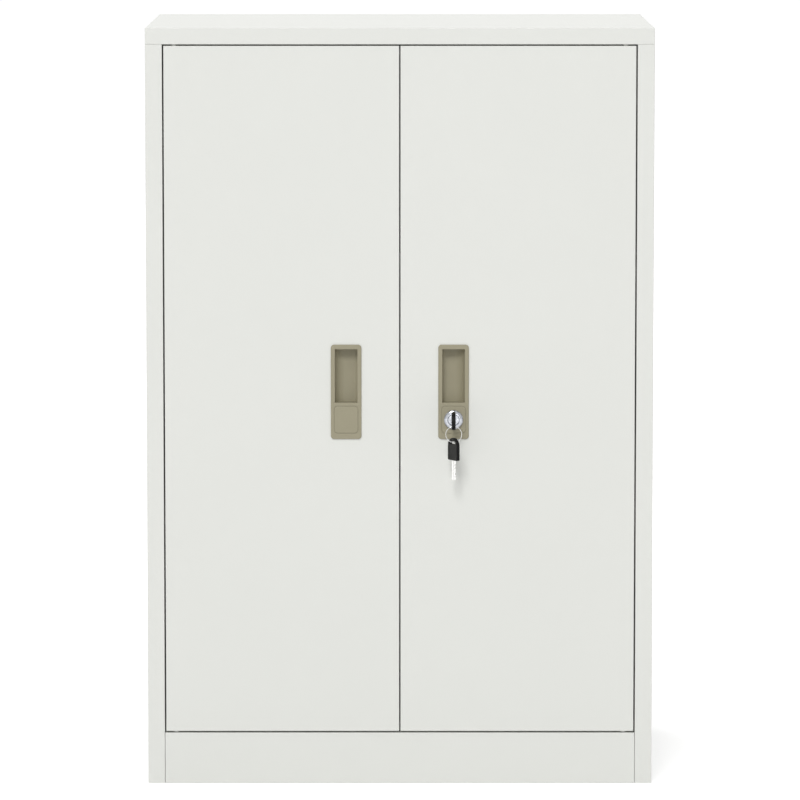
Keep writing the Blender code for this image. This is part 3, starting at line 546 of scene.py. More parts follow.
coat = Finish("satin_powder_coat", 0.42)
lighter = [min(1.0, channel * FOLD_LIGHTER) for channel in COAT_COLOUR]
drift = coat.colour(COAT_COLOUR, scale=6.0, amount=0.012)
coat.wear(drift, radius=0.0009, breakup=140.0, worn=lighter, most=0.6)
swell = coat.place(GRAIN, Scale=620.0, Roughness=0.35)
pits = coat.place(GRAIN, Scale=2600.0, Roughness=0.6)
low_bump = coat.bump(swell, distance=0.00012, strength=0.35)
coat.feed(coat.bump(pits, distance=0.00003, strength=0.25, under=low_bump), "Normal")
coat.vary_roughness(pits, least=0.38, most=0.47)
POWDER_COAT = ("powder_coat", coat.material)

# %% [markdown]
# ### Moulded plastics
#
# The handles come out of a spark-eroded mould, which leaves an even, very fine matt grain. Where
# fingers rub, the grain is polished and a little lighter. A key's head has two materials: a matt
# one on its flat sides, and a smoother, near-black one round its rim and in the eye, whose darker
# colour is painted shade for the shade that falls on the rim and in the eye.

# %% Plastics, rubber and nylon
def make_plastic(name, colour, roughness, grain, worn, gloss=0.5):
    plastic = Finish(name, roughness)
    plastic.set(**{"Specular IOR Level": gloss})
    drift = plastic.colour(colour, scale=60.0, amount=0.03)
    plastic.wear(drift, radius=0.0005, breakup=500.0, worn=worn, most=0.35)
    fine = plastic.place(GRAIN, Scale=grain, Roughness=0.7)
    plastic.feed(plastic.bump(fine, distance=0.00005, strength=0.3), "Normal")
    plastic.vary_roughness(fine, roughness - 0.06, roughness + 0.08)
    return plastic.material


rubber = Finish("buffer_rubber", 0.8)
rubber.colour((0.02, 0.02, 0.02), scale=400.0, amount=0.25)
fine = rubber.place(GRAIN, Scale=2200.0, Roughness=0.7)
rubber.feed(rubber.bump(fine, distance=0.00005, strength=0.5), "Normal")
RUBBER = ("rubber", rubber.material)

# %% [markdown]
# ### Metals
#
# The small steel parts are zinc plated: bright, with faint straw patches where the passivation
# varies, and the uprights have rolling marks along them. The key blades are nickel-plated and keep
# the fine lines of their rolling.

# %% Metals
def make_metal(name, colour, rough, grain, stretch=(1, 1, 1), tint=None):
    metal = Finish(name, rough[0], 1.0)
    shade = metal.colour(colour, scale=90.0, amount=0.04)
    if tint:
        patch = metal.place(TONE_DRIFT, Scale=260.0, Amount=0.0)
        share = ranged(metal.tree, patch.outputs["Mask"], 0.42, 0.68, 0.0, 0.55)
        metal.blend(share, shade.outputs["Colour"], tint)
    marks = metal.place(GRAIN, Scale=grain, Roughness=0.65, Stretch=stretch)
    metal.vary_roughness(marks, *rough)
    metal.feed(metal.bump(marks, distance=0.00002, strength=0.15), "Normal")
    return metal.material

# %% The finishes
HANDLE_COLOUR, HANDLE_WORN = (0.322, 0.295, 0.203), (0.336, 0.309, 0.215)
# The key head's rim colours are darker than its flat ones: painted shade on the rim and in the eye.
RIM_PAINTED_SHADE, RIM_PAINTED_SHADE_WORN = (0.006, 0.006, 0.006), (0.012, 0.012, 0.012)
FLAT_COLOUR, FLAT_WORN = (0.029, 0.029, 0.0275), (0.036, 0.036, 0.034)
CATCH_COLOUR, CATCH_WORN = (0.07, 0.07, 0.066), (0.1, 0.1, 0.1)
NYLON_COLOUR, NYLON_WORN = (0.8, 0.8, 0.78), (0.86, 0.86, 0.84)
ZINC_COLOUR, STRAW = (0.62, 0.63, 0.64), (0.66, 0.64, 0.56)
NICKEL_COLOUR, WIRE_COLOUR = (0.97, 0.965, 0.955), (0.7, 0.7, 0.69)

handle = make_plastic("handle_plastic", HANDLE_COLOUR, 0.55, 1900.0, HANDLE_WORN)
rim = make_plastic("key_head_rim_painted_shade", RIM_PAINTED_SHADE, 0.4, 2600.0, RIM_PAINTED_SHADE_WORN, gloss=0.12)
flat = make_plastic("key_head_flat", FLAT_COLOUR, 0.6, 1700.0, FLAT_WORN, gloss=0.2)
catch = make_plastic("catch_plastic", CATCH_COLOUR, 0.5, 1600.0, CATCH_WORN)
nylon = make_plastic("bush_nylon", NYLON_COLOUR, 0.48, 1500.0, NYLON_WORN)
zinc = make_metal("zinc_plate", ZINC_COLOUR, (0.28, 0.46), 900.0, tint=STRAW)
strip = make_metal("zinc_plated_strip", ZINC_COLOUR, (0.3, 0.44), 1400.0, (1, 1, 0.03), STRAW)
nickel = make_metal("key_blade_nickel", NICKEL_COLOUR, (0.42, 0.56), 2600.0, (1, 1, 0.05))
wire = make_metal("ring_wire", WIRE_COLOUR, (0.14, 0.26), 1600.0)

HANDLE_PLASTIC = ("handle_plastic", handle)
KEY_PLASTIC, CATCH_PLASTIC = ("key_plastic", rim, flat), ("key_plastic", catch)
NYLON = ("nylon", nylon)
ZINC, ZINC_STRIP = ("zinc", zinc), ("zinc", strip)
KEY_STEEL, WIRE_STEEL = ("steel", nickel), ("steel", wire)
print("materials:", ", ".join(sorted(material.name for material in bpy.data.materials)))

# %% [markdown]
# ## The case
#
# Each side is one sheet with four folds: a lip and a step that make the front post, the side
# itself, and a return at the rear. It could be cut from a solid box, but a bent strip is how the
# real one is made: its cross-section is drawn as a path, carried up the height, rounded at the
# folds and then given its wall. `SEAM` is all that stays open below the cap, so that nobody can
# look through there.

# %% Side panels
POST_LIP = 0.010
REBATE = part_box("plinth")[1].y - FRONT
BACK_RETURN = 0.020
SEAM = 0.00006

for word, side in SIDES.items():
    node = f"{word}_side_panel"
    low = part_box(node)[0]
    rear = BACK - FRONT
    plan = (
        (OPENING + POST_LIP, REBATE), (OPENING, REBATE), (OPENING, 0), (SIDE, 0), (SIDE, rear),
        (SIDE - BACK_RETURN, rear),
    )
    path = [at(side * across, depth, low.z) for across, depth in plan]
    sheet = folded(path, run=(0, 0, LEDGE - SEAM - low.z), outside=(side, 0, 0))
    add_piece(f"{word}_side_sheet", sheet, POWDER_COAT, "carcass", [node])

# %% [markdown]
# The cap is a shallow tray, open below. Its front folds back under itself and becomes the ledge
# over the doors, with holes for the hinge bushes and a slot for the upper locking rod. A second
# split behind the ledge keeps the rounded fold's end short, so that the lower edges of the cap's
# sides stay level. Their outer corners are rounded, and the groove that this leaves is the seam
# between cap and case. The kick plate is folded the same way, upside down, and has the same holes
# in its sill.

# %% Cap and kick plate
PIVOT = middle_of("right_top_pivot")
ROD = middle_of("upper_rod_guide")
ROD_RADIUS = 0.0021
ROD.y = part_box("lower_rod")[1].y - ROD_RADIUS
BUSH_HOLE = 0.0031
SLOT_HALF = Vector((0.0045, 0.0033, OVERRUN))
FOOT_FLANGE = 0.015
SILL_FLANGE = 0.010
RIM_ROUND = 0.0004


def pivot_hole(radius, side, level, steps=ROUND):
    """A cutter on a door's axis, through the sheet at one level."""
    middle = Vector((side * PIVOT.x, PIVOT.y, level))
    return bar(radius, middle - OVERRUN * UP, middle + OVERRUN * UP, steps)


def frame_holes(level):
    """Cutters for the two bush holes and the rod's slot, through the ledge or the sill."""
    holes = [pivot_hole(BUSH_HOLE, side, level) for side in SIDES.values()]
    slot = block(Vector((ROD.x, ROD.y, level)), SLOT_HALF)
    bevel_along(slot, UP, BEND)
    return merged(*holes, slot)


def ease_rim(bm, level):
    """Rounds the outer corner of a cut rim, as its paint does."""
    bm.normal_update()
    rim = []
    for edge in bm.edges:
        start, end = (corner.co for corner in edge.verts)
        middle = (start + end) / 2
        if abs(start.z - level) < MERGE and abs(end.z - level) < MERGE:
            walls = [face.normal for face in edge.link_faces if abs(face.normal.z) < 0.1]
            if any(wall.x * middle.x + wall.y * middle.y > 0 for wall in walls):
                rim.append(edge)
    bevel(bm, rim, RIM_ROUND)


bm = box(at(-SIDE, 0, LEDGE), (SIDE, BACK, TOP))
for depth in (REBATE, REBATE + BEND):
    under = max(facing(bm, -UP), key=lambda face: face.calc_center_median().y)
    split(bm, at(0, depth, 0), REAR, [under, *under.edges, *under.verts])
ledge_end = FRONT + REBATE
behind = [face for face in facing(bm, -UP) if face.calc_center_median().y > ledge_end]
bmesh.ops.delete(bm, geom=behind, context="FACES")
round_folds(bm)
sheet = give_wall(bm)
ease_rim(sheet, LEDGE)
add_piece("cap_sheet", cut(sheet, frame_holes(LEDGE)), POWDER_COAT, "carcass", ["top_panel"])

low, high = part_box("plinth")
section = (
    (FOOT_FLANGE, low.z), (0, low.z), (0, high.z), (REBATE, high.z),
    (REBATE, high.z - SILL_FLANGE),
)
path = [at(low.x, depth, level) for depth, level in section]
sheet = cut(folded(path, run=(high.x - low.x, 0, 0), outside=-REAR), frame_holes(high.z))
add_piece("kick_plate", sheet, POWDER_COAT, "carcass", ["plinth"])

# %% [markdown]
# Inside, an angle strip behind the ledge stops the doors. The floor and both shelves are pans that
# open downwards, and each shelf's rim is turned in again, which makes it stiff and safe to grip.

# %% Door stop, floor and shelves
low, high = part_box("door_stop")
section = ((high.y, high.z), (low.y, high.z), (low.y, low.z))
path = [Vector((low.x, across, level)) for across, level in section]
sheet = folded(path, run=(high.x - low.x, 0, 0), outside=-REAR)
add_piece("door_stop_strip", sheet, POWDER_COAT, "carcass", ["door_stop"])

SHELF_LIP = 0.010

floor_pan = tray(*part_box("floor_panel"), -UP)
add_piece("floor_pan", floor_pan, POWDER_COAT, "carcass", ["floor_panel"])
for level in ("lower", "upper"):
    pan = tray(*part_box(f"{level}_shelf"), -UP, lip=SHELF_LIP)
    add_piece(f"{level}_shelf_pan", pan, POWDER_COAT, "carcass", [f"{level}_shelf"])

# %% [markdown]
# The back is one thin sheet, and two long beads are pressed into it so that it doesn't drum. The
# sheet is split round each bead, the bead's face is inset and pushed in, and its edges are rounded
# as a press would leave them. Low rivets hold it to the returns of the sides.

# %% Back panel and its rivets
BEAD_X = 0.150
BEAD_HALF = 0.020
BEAD_DEEP = 0.004
BEAD_MARGIN = 0.080
RIVET = 0.0024
RIVET_TALL = 0.0007
RIVET_ROWS = 7

low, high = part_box("back_panel")
path = (Vector((low.x, high.y, low.z)), Vector((high.x, high.y, low.z)))
bm = swept(path, run=(0, 0, high.z - low.z), outside=REAR)
for side in (-1, 1):
    for half in (-BEAD_HALF, BEAD_HALF):
        split(bm, (side * BEAD_X + half, 0, 0), RIGHT)
for level in (low.z + BEAD_MARGIN, high.z - BEAD_MARGIN):
    split(bm, (0, 0, level), UP)
beads = []
for face in bm.faces:
    middle = face.calc_center_median()
    inside = low.z + BEAD_MARGIN < middle.z < high.z - BEAD_MARGIN
    if inside and abs(abs(middle.x) - BEAD_X) < BEAD_HALF:
        beads.append(face)
bmesh.ops.inset_region(
    bm, faces=beads, thickness=BEAD_DEEP, depth=-BEAD_DEEP, use_even_offset=True
)
round_folds(bm, BEAD_DEEP / 2)
add_piece("back_sheet", give_wall(bm), POWDER_COAT, "carcass", ["back_panel"])


def rivet(place, way):
    """A low domed head with the dimple that its stem leaves."""
    profile = (
        (0, 0), (RIVET, 0), (RIVET * 0.75, RIVET_TALL), (RIVET * 0.3, RIVET_TALL),
        (0, RIVET_TALL * 0.4),
    )
    return spun(profile, place, way, steps=16)


low, high = BEAD_MARGIN / 2, LEDGE - BEAD_MARGIN / 2
heads = []
for side in SIDES.values():
    for row in range(RIVET_ROWS):
        level = low + (high - low) * row / (RIVET_ROWS - 1)
        heads.append(rivet(Vector((side * (SIDE - BACK_RETURN / 2), BACK, level)), REAR))
add_piece("back_rivets", merged(*heads), POWDER_COAT, "carcass", smooth_below=50)

# %% [markdown]
# ## Slotted uprights and shelf clips
#
# Four zinc-plated channels stand in the corners, each with a row of slots 50 mm apart. A clip is
# one pressed bracket: two cheeks under a flat top, and a tongue that hooks down behind the
# channel's web. The clip's side view is pushed out to its full width and then hollowed from below,
# which leaves the cheeks.

# %% Uprights
SLOT_PITCH = 0.050
SLOT_SIZE = Vector((0.003, 0.008, 0.012))
FIRST_SLOT = 0.113


def make_upright(row, word, side):
    node = f"{row}_{word}_upright"
    low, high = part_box(node)
    web, wall = (high.x, low.x) if side < 0 else (low.x, high.x)
    plan = ((wall, low.y), (web, low.y), (web, high.y), (wall, high.y))
    path = [Vector((across, deep, low.z)) for across, deep in plan]
    channel = folded(path, run=(0, 0, high.z - low.z), outside=(-side, 0, 0))
    slots = []
    level = FIRST_SLOT
    while level + SLOT_SIZE.z < high.z:
        slot = block(Vector((web, (low.y + high.y) / 2, level)), SLOT_SIZE / 2)
        bevel_along(slot, RIGHT, BEND)
        slots.append(slot)
        level += SLOT_PITCH
    channel = cut(channel, merged(*slots))
    add_piece(f"{row}_{word}_channel", channel, ZINC_STRIP, "carcass", [node])


for row in ("front", "rear"):
    for word, side in SIDES.items():
        make_upright(row, word, side)

# %% Shelf clips
CLIP_TIP = 0.002
CLIP_GUSSET = 0.012
CLIP_SILL = -0.0057
CLIP_HOOK = -0.011
CLIP_TONGUE = 0.002
CLIP_METAL = 0.0012


def make_clip(node, side):
    low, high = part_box(node)
    behind = SHEET + FIT
    tip, tongue = (low.x, high.x) if side > 0 else (high.x, low.x)
    web = tongue - side * (CLIP_TONGUE + behind)
    reach = abs(tip - web)
    view = (
        (-reach, 0), (-reach, -CLIP_TIP), (-FIT, -CLIP_GUSSET), (-FIT, CLIP_SILL),
        (behind, CLIP_SILL), (behind, CLIP_HOOK), (behind + CLIP_TONGUE, CLIP_HOOK),
        (behind + CLIP_TONGUE, 0),
    )
    outline = [Vector((web + side * across, low.y, high.z + up)) for across, up in view]
    clip = slab(outline, along=(0, high.y - low.y, 0))
    start = tip - side * OVERRUN, low.y + CLIP_METAL, high.z - CLIP_GUSSET - OVERRUN
    end = web - side * (FIT + CLIP_METAL), high.y - CLIP_METAL, high.z - CLIP_METAL
    clip = soften(cut(clip, box(start, end)), 0.0002)
    add_piece(node.replace("_clip", "_bracket"), clip, ZINC, "carcass", [node])


for node in sorted(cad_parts):
    if node.endswith("_clip"):
        make_clip(node, 1 if "right" in node else -1)

# %% [markdown]
# ## What the doors turn on and close against
#
# Each door turns on two short pins. A pin stands on a block inside the door's end and reaches
# through a nylon bush, whose collar fills the gap between the door and the frame: these are the
# light spots that the photograph shows in the gaps. The dressed doors reach a little further up
# than the working model's, by `TOP_REACH`. The collars over them are shorter by half of that, and
# the play above the doors takes up the rest. Rubber buttons soften the doors' closing, and a
# magnetic catch holds the door that has no lock.

# %% Bushes and pins
DOOR_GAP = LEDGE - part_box("right_door_panel")[1].z
TOP_REACH = 0.00045
PIN = 0.00175
FOOT_TALL = 0.010
COLLAR = 0.0032
FLANGE = 0.0045
FLANGE_THICK = 0.0012
BUSH_BODY = 0.0028


def make_bush(node, side, level, way):
    bore = PIN + FIT
    top = SHEET + FIT
    end = FIT - DOOR_GAP + (TOP_REACH / 2 if way.z > 0 else 0)
    profile = (
        (bore, top + FLANGE_THICK), (FLANGE, top + FLANGE_THICK), (FLANGE, top),
        (BUSH_BODY, top), (BUSH_BODY, -FIT), (COLLAR, -FIT), (COLLAR, end), (bore, end),
    )
    bush = spun(profile, Vector((side * PIVOT.x, PIVOT.y, level)), way, soft=0.00015)
    add_piece(f"{node}_collar", bush, NYLON, "carcass", [node])


def make_pin(node, side, way, body):
    low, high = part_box(node)
    door_end = high.z if way > 0 else low.z
    foot_top = door_end - way * (DOOR_GAP + SHEET + FIT + FLANGE_THICK + SHEET + FIT)
    half = (high.y - low.y) / 2
    start = low.x, PIVOT.y - half, foot_top
    foot = box(start, (high.x, PIVOT.y + half, foot_top - way * FOOT_TALL))
    bevel_along(foot, UP, radius=0.0015)
    soften(foot, 0.0003)
    axis = side * PIVOT.x, PIVOT.y
    pin = bar(PIN, (*axis, foot_top - way * SHEET), (*axis, door_end), soft=0.0005, soft_steps=3)
    add_piece(f"{node}_pin", merged(foot, pin), ZINC, body, [node])


for word, side in SIDES.items():
    make_bush(f"{word}_top_bush", side, LEDGE, UP)
    make_bush(f"{word}_bottom_bush", side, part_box("plinth")[1].z, -UP)
    make_pin(f"{word}_top_pivot", side, 1, f"{word}_door")
    make_pin(f"{word}_bottom_pivot", side, -1, f"{word}_door")

# %% Buffers and the magnetic catch
POLE_HALF = Vector((0.0011, 0, 0.0036))
POLE_APART = 0.0028
POLE_PLAY = 0.0001

for node in ("upper_right_buffer", "lower_right_buffer", "lower_left_buffer"):
    low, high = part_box(node)
    middle = (low + high) / 2
    radius, tall = (high.x - low.x) / 2, high.y - low.y
    profile = (
        (0, 0), (radius, 0), (radius, tall * 0.3), (radius * 0.86, tall * 0.38),
        (radius * 0.86, tall * 0.8), (radius * 0.55, tall), (0, tall),
    )
    button = spun(profile, Vector((middle.x, high.y, middle.z)), -REAR, soft=0.0004, steps=32)
    add_piece(f"{node}_button", button, RUBBER, "carcass", [node])

# The catch: a plastic housing with two steel poles that stand back a little in their pockets
low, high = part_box("magnetic_catch")
housing = box(low, high)
bevel_along(housing, REAR, radius=0.0012, steps=4)
inner = POLE_HALF - Vector((POLE_PLAY, 0, POLE_PLAY))
pockets, poles = [], []
for side in (-1, 1):
    across = (low.x + high.x) / 2 + side * POLE_APART
    middle = Vector((across, low.y, (low.z + high.z) / 2))
    pockets.append(block(middle, POLE_HALF, front=0.001, rear=0.0022))
    poles.append(soften(block(middle, inner, front=-POLE_PLAY, rear=0.0026), 0.0001))
housing = soften(cut(housing, merged(*pockets)), 0.0002)
add_piece("catch_housing", housing, CATCH_PLASTIC, "carcass", ["magnetic_catch"])
add_piece("catch_poles", merged(*poles), ZINC, "carcass")

# %% [markdown]
# ## Doors
#
# A door is a folded pan with its open side to the rear and a lip all round it, so that its edges
# look like a thick board from the front. A rounded edge reads narrower than the sharp one of the
# working model, so the pan reaches past it a little on every side and the gaps look as wide as they
# are. A hat-shaped strip stiffens the door's middle. The holes come last: one for each pin, and one
# for the handle's body.

# %% Door sheets and stiffeners
DOOR_LIP = 0.012
STIFFENER_CROWN = 0.015
BODY_INNER = 0.0162
BODY_OUTER = 0.0150
BODY_LOW = 0.0049
BODY_TOP = 0.1087
CUTOUT_PLAY = 0.0004
LOCK_SIDE_REACH = 0.00035
HINGE_SIDE_REACH = 0.0005
LOW_REACH = 0.00025


def make_door(word, side):
    low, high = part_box(f"{word}_door_panel")
    reach = {side: HINGE_SIDE_REACH, -side: LOCK_SIDE_REACH}
    start = low - Vector((reach[-1], 0, LOW_REACH))
    sheet = tray(start, high + Vector((reach[1], 0, TOP_REACH)), REAR, lip=DOOR_LIP)
    holes = [pivot_hole(PIN + FIT, side, level, steps=32) for level in (low.z, high.z)]
    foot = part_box(f"{word}_handle")[0].z
    inner, outer = LOCK.x - BODY_INNER - CUTOUT_PLAY, LOCK.x + BODY_OUTER + CUTOUT_PLAY
    start = at(side * inner, -OVERRUN, foot + BODY_LOW - CUTOUT_PLAY)
    end = at(side * outer, OVERRUN, foot + BODY_TOP + CUTOUT_PLAY)
    sheet = cut(sheet, merged(*holes, box(start, end)))
    add_piece(f"{word}_door_sheet", sheet, POWDER_COAT, f"{word}_door", [f"{word}_door_panel"])


def make_stiffener(word):
    node = f"{word}_door_stiffener"
    low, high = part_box(node)
    middle = (low.x + high.x) / 2
    seat = low.y + SHEET
    section = (
        (low.x, seat), (middle - STIFFENER_CROWN, seat), (middle - STIFFENER_CROWN, high.y),
        (middle + STIFFENER_CROWN, high.y), (middle + STIFFENER_CROWN, seat), (high.x, seat),
    )
    path = [Vector((across, deep, low.z)) for across, deep in section]
    strip = folded(path, run=(0, 0, high.z - low.z), outside=REAR)
    add_piece(f"{word}_door_hat_strip", strip, POWDER_COAT, f"{word}_door", [node])


for word, side in SIDES.items():
    make_door(word, side)
    make_stiffener(word)

# %% [markdown]
# ## Recessed handles
#
# The handle is one moulding: a rounded flange that lies on the door, a finger pocket above, and a
# seat for the lock below. Seen from the top, the pocket sweeps in a wide curve on the hinge side,
# and on the other side it undercuts the flange so that fingertips find an edge to pull. The
# pocket's outer skin is joined to the flange, and the same plan without its wall is cut out of
# both.

# %% Handle mouldings
HANDLE_PROUD = 0.0022
HANDLE_CORNER = 0.0038
HANDLE_WALL = 0.0016
MOUTH_HALF = 0.0134
MOUTH_DROP = 0.0052
MOUTH_SILL = 0.004
POCKET_FLOOR = 0.0128
SCOOP = 0.012
INNER_CORNER = 0.005
UNDERCUT = 0.0012
TAB_LEVELS = (0.058, 0.092)
TAB_SIZE = Vector((0.0028, 0.004, 0.008))
SEAT_BACK = 0.0058
COVER = Vector((0.028, 0, 0.032))
COVER_SINK = 0.0008
COVER_THICK = 0.0009
COVER_CORNER = 0.004
COVER_SEAT = HANDLE_PROUD - COVER_SINK
BARREL = 0.0092


def pocket(side, middle, low, high, front, wall=0.0):
    """The finger pocket as a solid, with its wide scoop on the hinge side."""
    inner = middle - side * (MOUTH_HALF + UNDERCUT + wall)
    outer = middle + side * (MOUTH_HALF + wall)
    bm = box(at(inner, front, low - wall), at(outer, POCKET_FLOOR + wall, high + wall))
    for across, radius in ((outer, SCOOP), (inner, INNER_CORNER)):
        line = Vector((across, FRONT + POCKET_FLOOR + wall))
        bevel_along(
            bm, UP, radius + wall, steps=14, test=lambda m: (m.xy - line).length < MERGE
        )
    return bm


def rounded_plate(middle, half, front, back, corner):
    """A plate that faces the front, with rounded corners."""
    low = at(middle.x - half.x, front, middle.z - half.z)
    bm = box(low, at(middle.x + half.x, back, middle.z + half.z))
    bevel_along(bm, REAR, corner, steps=8)
    return bm


def barrel_hole(length=0.01):
    """A cutter for the lock's barrel, by how far it runs behind the door faces."""
    return bar(BARREL + FIT, LOCK - 0.01 * REAR, LOCK + length * REAR)


def snap_tabs(side, middle, foot):
    """Four blocks behind the door's sheet that keep the moulding in."""
    tabs = []
    for across in (-BODY_INNER, BODY_OUTER):
        for level in TAB_LEVELS:
            start = at(middle + side * across - TAB_SIZE.x / 2, SHEET + FIT, foot + level)
            tabs.append(box(start, start + TAB_SIZE))
    return merged(*tabs)


def make_handle(word, side):
    low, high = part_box(f"{word}_handle")
    middle = side * LOCK.x
    half = Vector((high.x - middle, 0, (high.z - low.z) / 2))
    centre = Vector((middle, 0, (low.z + high.z) / 2))
    flange = rounded_plate(centre, half, -HANDLE_PROUD, -FIT, HANDLE_CORNER)
    bevel(flange, furthest(flange, -REAR).edges[:], radius=0.0009, steps=4)
    mouth_top = high.z - MOUTH_DROP
    mouth_low = LOCK.z + COVER.z / 2 + MOUTH_SILL
    seat_low = low.z + BODY_LOW
    shell = pocket(side, middle, mouth_low, mouth_top, -HANDLE_PROUD / 2, HANDLE_WALL)
    inner, outer = middle - side * (BODY_INNER - FIT), middle + side * (BODY_OUTER - FIT)
    near, far = sorted((inner, outer))
    seat = box(at(near, -COVER_SEAT, seat_low), at(far, SEAT_BACK, mouth_low - HANDLE_WALL / 2))
    grip = join(flange, shell, seat, snap_tabs(side, middle, low.z))
    hollow = pocket(side, middle, mouth_low, mouth_top, 0)
    open_front = -HANDLE_PROUD - OVERRUN
    mouth = box(
        at(middle - MOUTH_HALF, open_front, mouth_low), at(middle + MOUTH_HALF, OVERRUN, mouth_top)
    )
    half = COVER / 2 + Vector((FIT, 0, FIT))
    place = Vector((middle, 0, LOCK.z))
    recess = rounded_plate(place, half, open_front, -COVER_SEAT, COVER_CORNER + FIT)
    grip = cut(grip, hollow, mouth, recess)
    if side > 0:
        grip = cut(grip, barrel_hole())
    else:
        start = at(near + HANDLE_WALL, HANDLE_WALL - COVER_SEAT, seat_low + HANDLE_WALL)
        end = at(far - HANDLE_WALL, SEAT_BACK + OVERRUN, mouth_low - 2 * HANDLE_WALL)
        grip = cut(grip, box(start, end))
    soften(grip, 0.00025, above=50)
    name = f"{word}_handle_moulding"
    add_piece(name, grip, HANDLE_PLASTIC, f"{word}_door", [f"{word}_handle"])


def make_cover(word, side):
    back = -COVER_SEAT - FIT
    place = Vector((side * LOCK.x, 0, LOCK.z))
    plate = rounded_plate(place, COVER / 2, back - COVER_THICK, back, COVER_CORNER)
    bevel(plate, furthest(plate, -REAR).edges[:], radius=0.0004, steps=3)
    if side > 0:
        plate = cut(plate, barrel_hole())
    name = f"{word}_handle_cover_plate"
    add_piece(name, plate, HANDLE_PLASTIC, f"{word}_door", [f"{word}_handle_cover"])


for word, side in SIDES.items():
    make_handle(word, side)
    make_cover(word, side)

# %% [markdown]
# ## The lock
#
# A cam lock is turned from bar: a collar in front that slopes to its rim, a threaded barrel that a
# nut clamps behind the handle, and a plug inside with the keyway. All three are profiles spun round
# the lock's axis. The thread is only seen from inside the door, so plain rings stand for it. The
# chrome's colour has painted blotches that stand for reflections, and a painted dark ring round
# its edge that stands for the shade and dark reflection there.

# %% Chrome
COLLAR_RADIUS = 0.0112

chrome = Finish("lock_chrome", 0.12, 1.0)
tree = chrome.tree
# The strong tone drift paints blotches into the chrome's colour that stand for reflections.
shade = chrome.colour((0.49, 0.505, 0.54), scale=280.0, amount=0.42)
# A darker ring near the collar's edge, broken up by the blotches, is painted shade and dark
# reflection at the rim.
out = vectors(tree, "SUBTRACT", object_place(tree), LOCK)
radius = vectors(tree, "LENGTH", vectors(tree, "MULTIPLY", out, (1, 0, 1)))
rim = ranged(tree, radius, COLLAR_RADIUS - 0.002, COLLAR_RADIUS - 0.0002, 0.0, 1.0)
patch = ranged(tree, shade.outputs["Mask"], 0.4, 0.55, 0.2, 1.0)
painted_rim_shade = maths(tree, "MULTIPLY", rim, patch)
chrome.blend(painted_rim_shade, shade.outputs["Colour"], (0.16, 0.165, 0.18))
marks = chrome.place(GRAIN, Scale=700.0, Roughness=0.65)
chrome.vary_roughness(marks, least=0.06, most=0.2)
chrome.feed(chrome.bump(marks, distance=0.00002, strength=0.05), "Normal")
CHROME = ("chrome", chrome.material)
print("chrome:", chrome.material.name)

# %% Barrel, plug and nut
PLUG = 0.0065
BARREL_END = 0.0172
COLLAR_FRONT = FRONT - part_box("lock_barrel")[0].y
PLUG_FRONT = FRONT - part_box("lock_plug")[0].y
COLLAR_BACK = COLLAR_FRONT - 0.0032
THREAD_PITCH = 0.001
THREAD_DEEP = 0.0004
TAIL = 0.0026
TAIL_END = 0.0187
BLADE_HALF = Vector((0.001, 0, 0.0032))
KEYWAY_DEEP = 0.0164


def thread(start, end):
    """Points of plain rings down the barrel, from one height to a lower one."""
    points = []
    height = start
    while height - THREAD_PITCH > end:
        points += [(BARREL, height), (BARREL - THREAD_DEEP, height - THREAD_PITCH / 2)]
        height -= THREAD_PITCH
    return points


bore = PLUG + FIT
profile = [
    (bore, COLLAR_FRONT - 0.0004), (bore + 0.0004, COLLAR_FRONT), (bore + 0.0012, COLLAR_FRONT),
    (bore + 0.0024, COLLAR_FRONT - 0.0004), (COLLAR_RADIUS - 0.0005, COLLAR_FRONT - 0.0009),
    (COLLAR_RADIUS, COLLAR_FRONT - 0.0015), (COLLAR_RADIUS, COLLAR_BACK + 0.0006),
    (COLLAR_RADIUS - 0.0003, COLLAR_BACK), (BARREL, COLLAR_BACK),
    *thread(-SEAT_BACK, -BARREL_END + 0.001),
    (BARREL, -BARREL_END), (bore, -BARREL_END),
]
barrel = spun(profile, LOCK, -REAR, steps=96)
add_piece("lock_collar", barrel, CHROME, "right_door", ["lock_barrel"], smooth_below=32)

profile = (
    (0, PLUG_FRONT), (PLUG - 0.0003, PLUG_FRONT), (PLUG, PLUG_FRONT - 0.0003),
    (PLUG, -BARREL_END), (TAIL, -BARREL_END), (TAIL, -TAIL_END), (0, -TAIL_END),
)
plug = spun(profile, LOCK, -REAR, steps=64)
keyway = block(LOCK, BLADE_HALF + Vector((FIT, 0, FIT)), front=0.01, rear=KEYWAY_DEEP)
add_piece("lock_core_plug", cut(plug, keyway), CHROME, "lock_core", ["lock_plug"])

low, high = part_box("lock_nut")
radius = (high.x - low.x) / 2
bm = bmesh.new()
bmesh.ops.create_cone(
    bm,
    cap_ends=True,
    segments=6,
    radius1=radius,
    radius2=radius,
    depth=high.y - low.y,
    matrix=Matrix.Rotation(math.radians(90), 4, "X"),
)
turn(bm, 30, "Y")
shift(bm, (low + high) / 2)
nut = soften(cut(bm, barrel_hole(0.02)), 0.0004)
add_piece("lock_ring_nut", nut, ZINC, "right_door", ["lock_nut"])

# %% [markdown]
# ## Lever, rods and guides
#
# On the plug's tail sits a lever with a stud at each end. Each stud runs in a fork, so that a
# quarter turn of the key pushes one rod up into the ledge and the other down into the sill. The
# lever is a box whose ends are rounded until it is a stadium: `FULL` is the share of the half width
# that a bevel can take without its ends running together. Forks are flat plates with a slot, joined
# to the round rods.

# %% Lever and its screw
FULL = 0.995
LEVER_HALF = 0.0042
LEVER_THICK = 0.0012
STUD_ORBIT = 0.008
STUD = 0.0015
STUD_TURN = 45
STUD_RISE = STUD_ORBIT * math.sin(math.radians(STUD_TURN))
SCREW = 0.0012
SCREW_HEAD = 0.0016
CROSS = (0.0019, 0.0004)

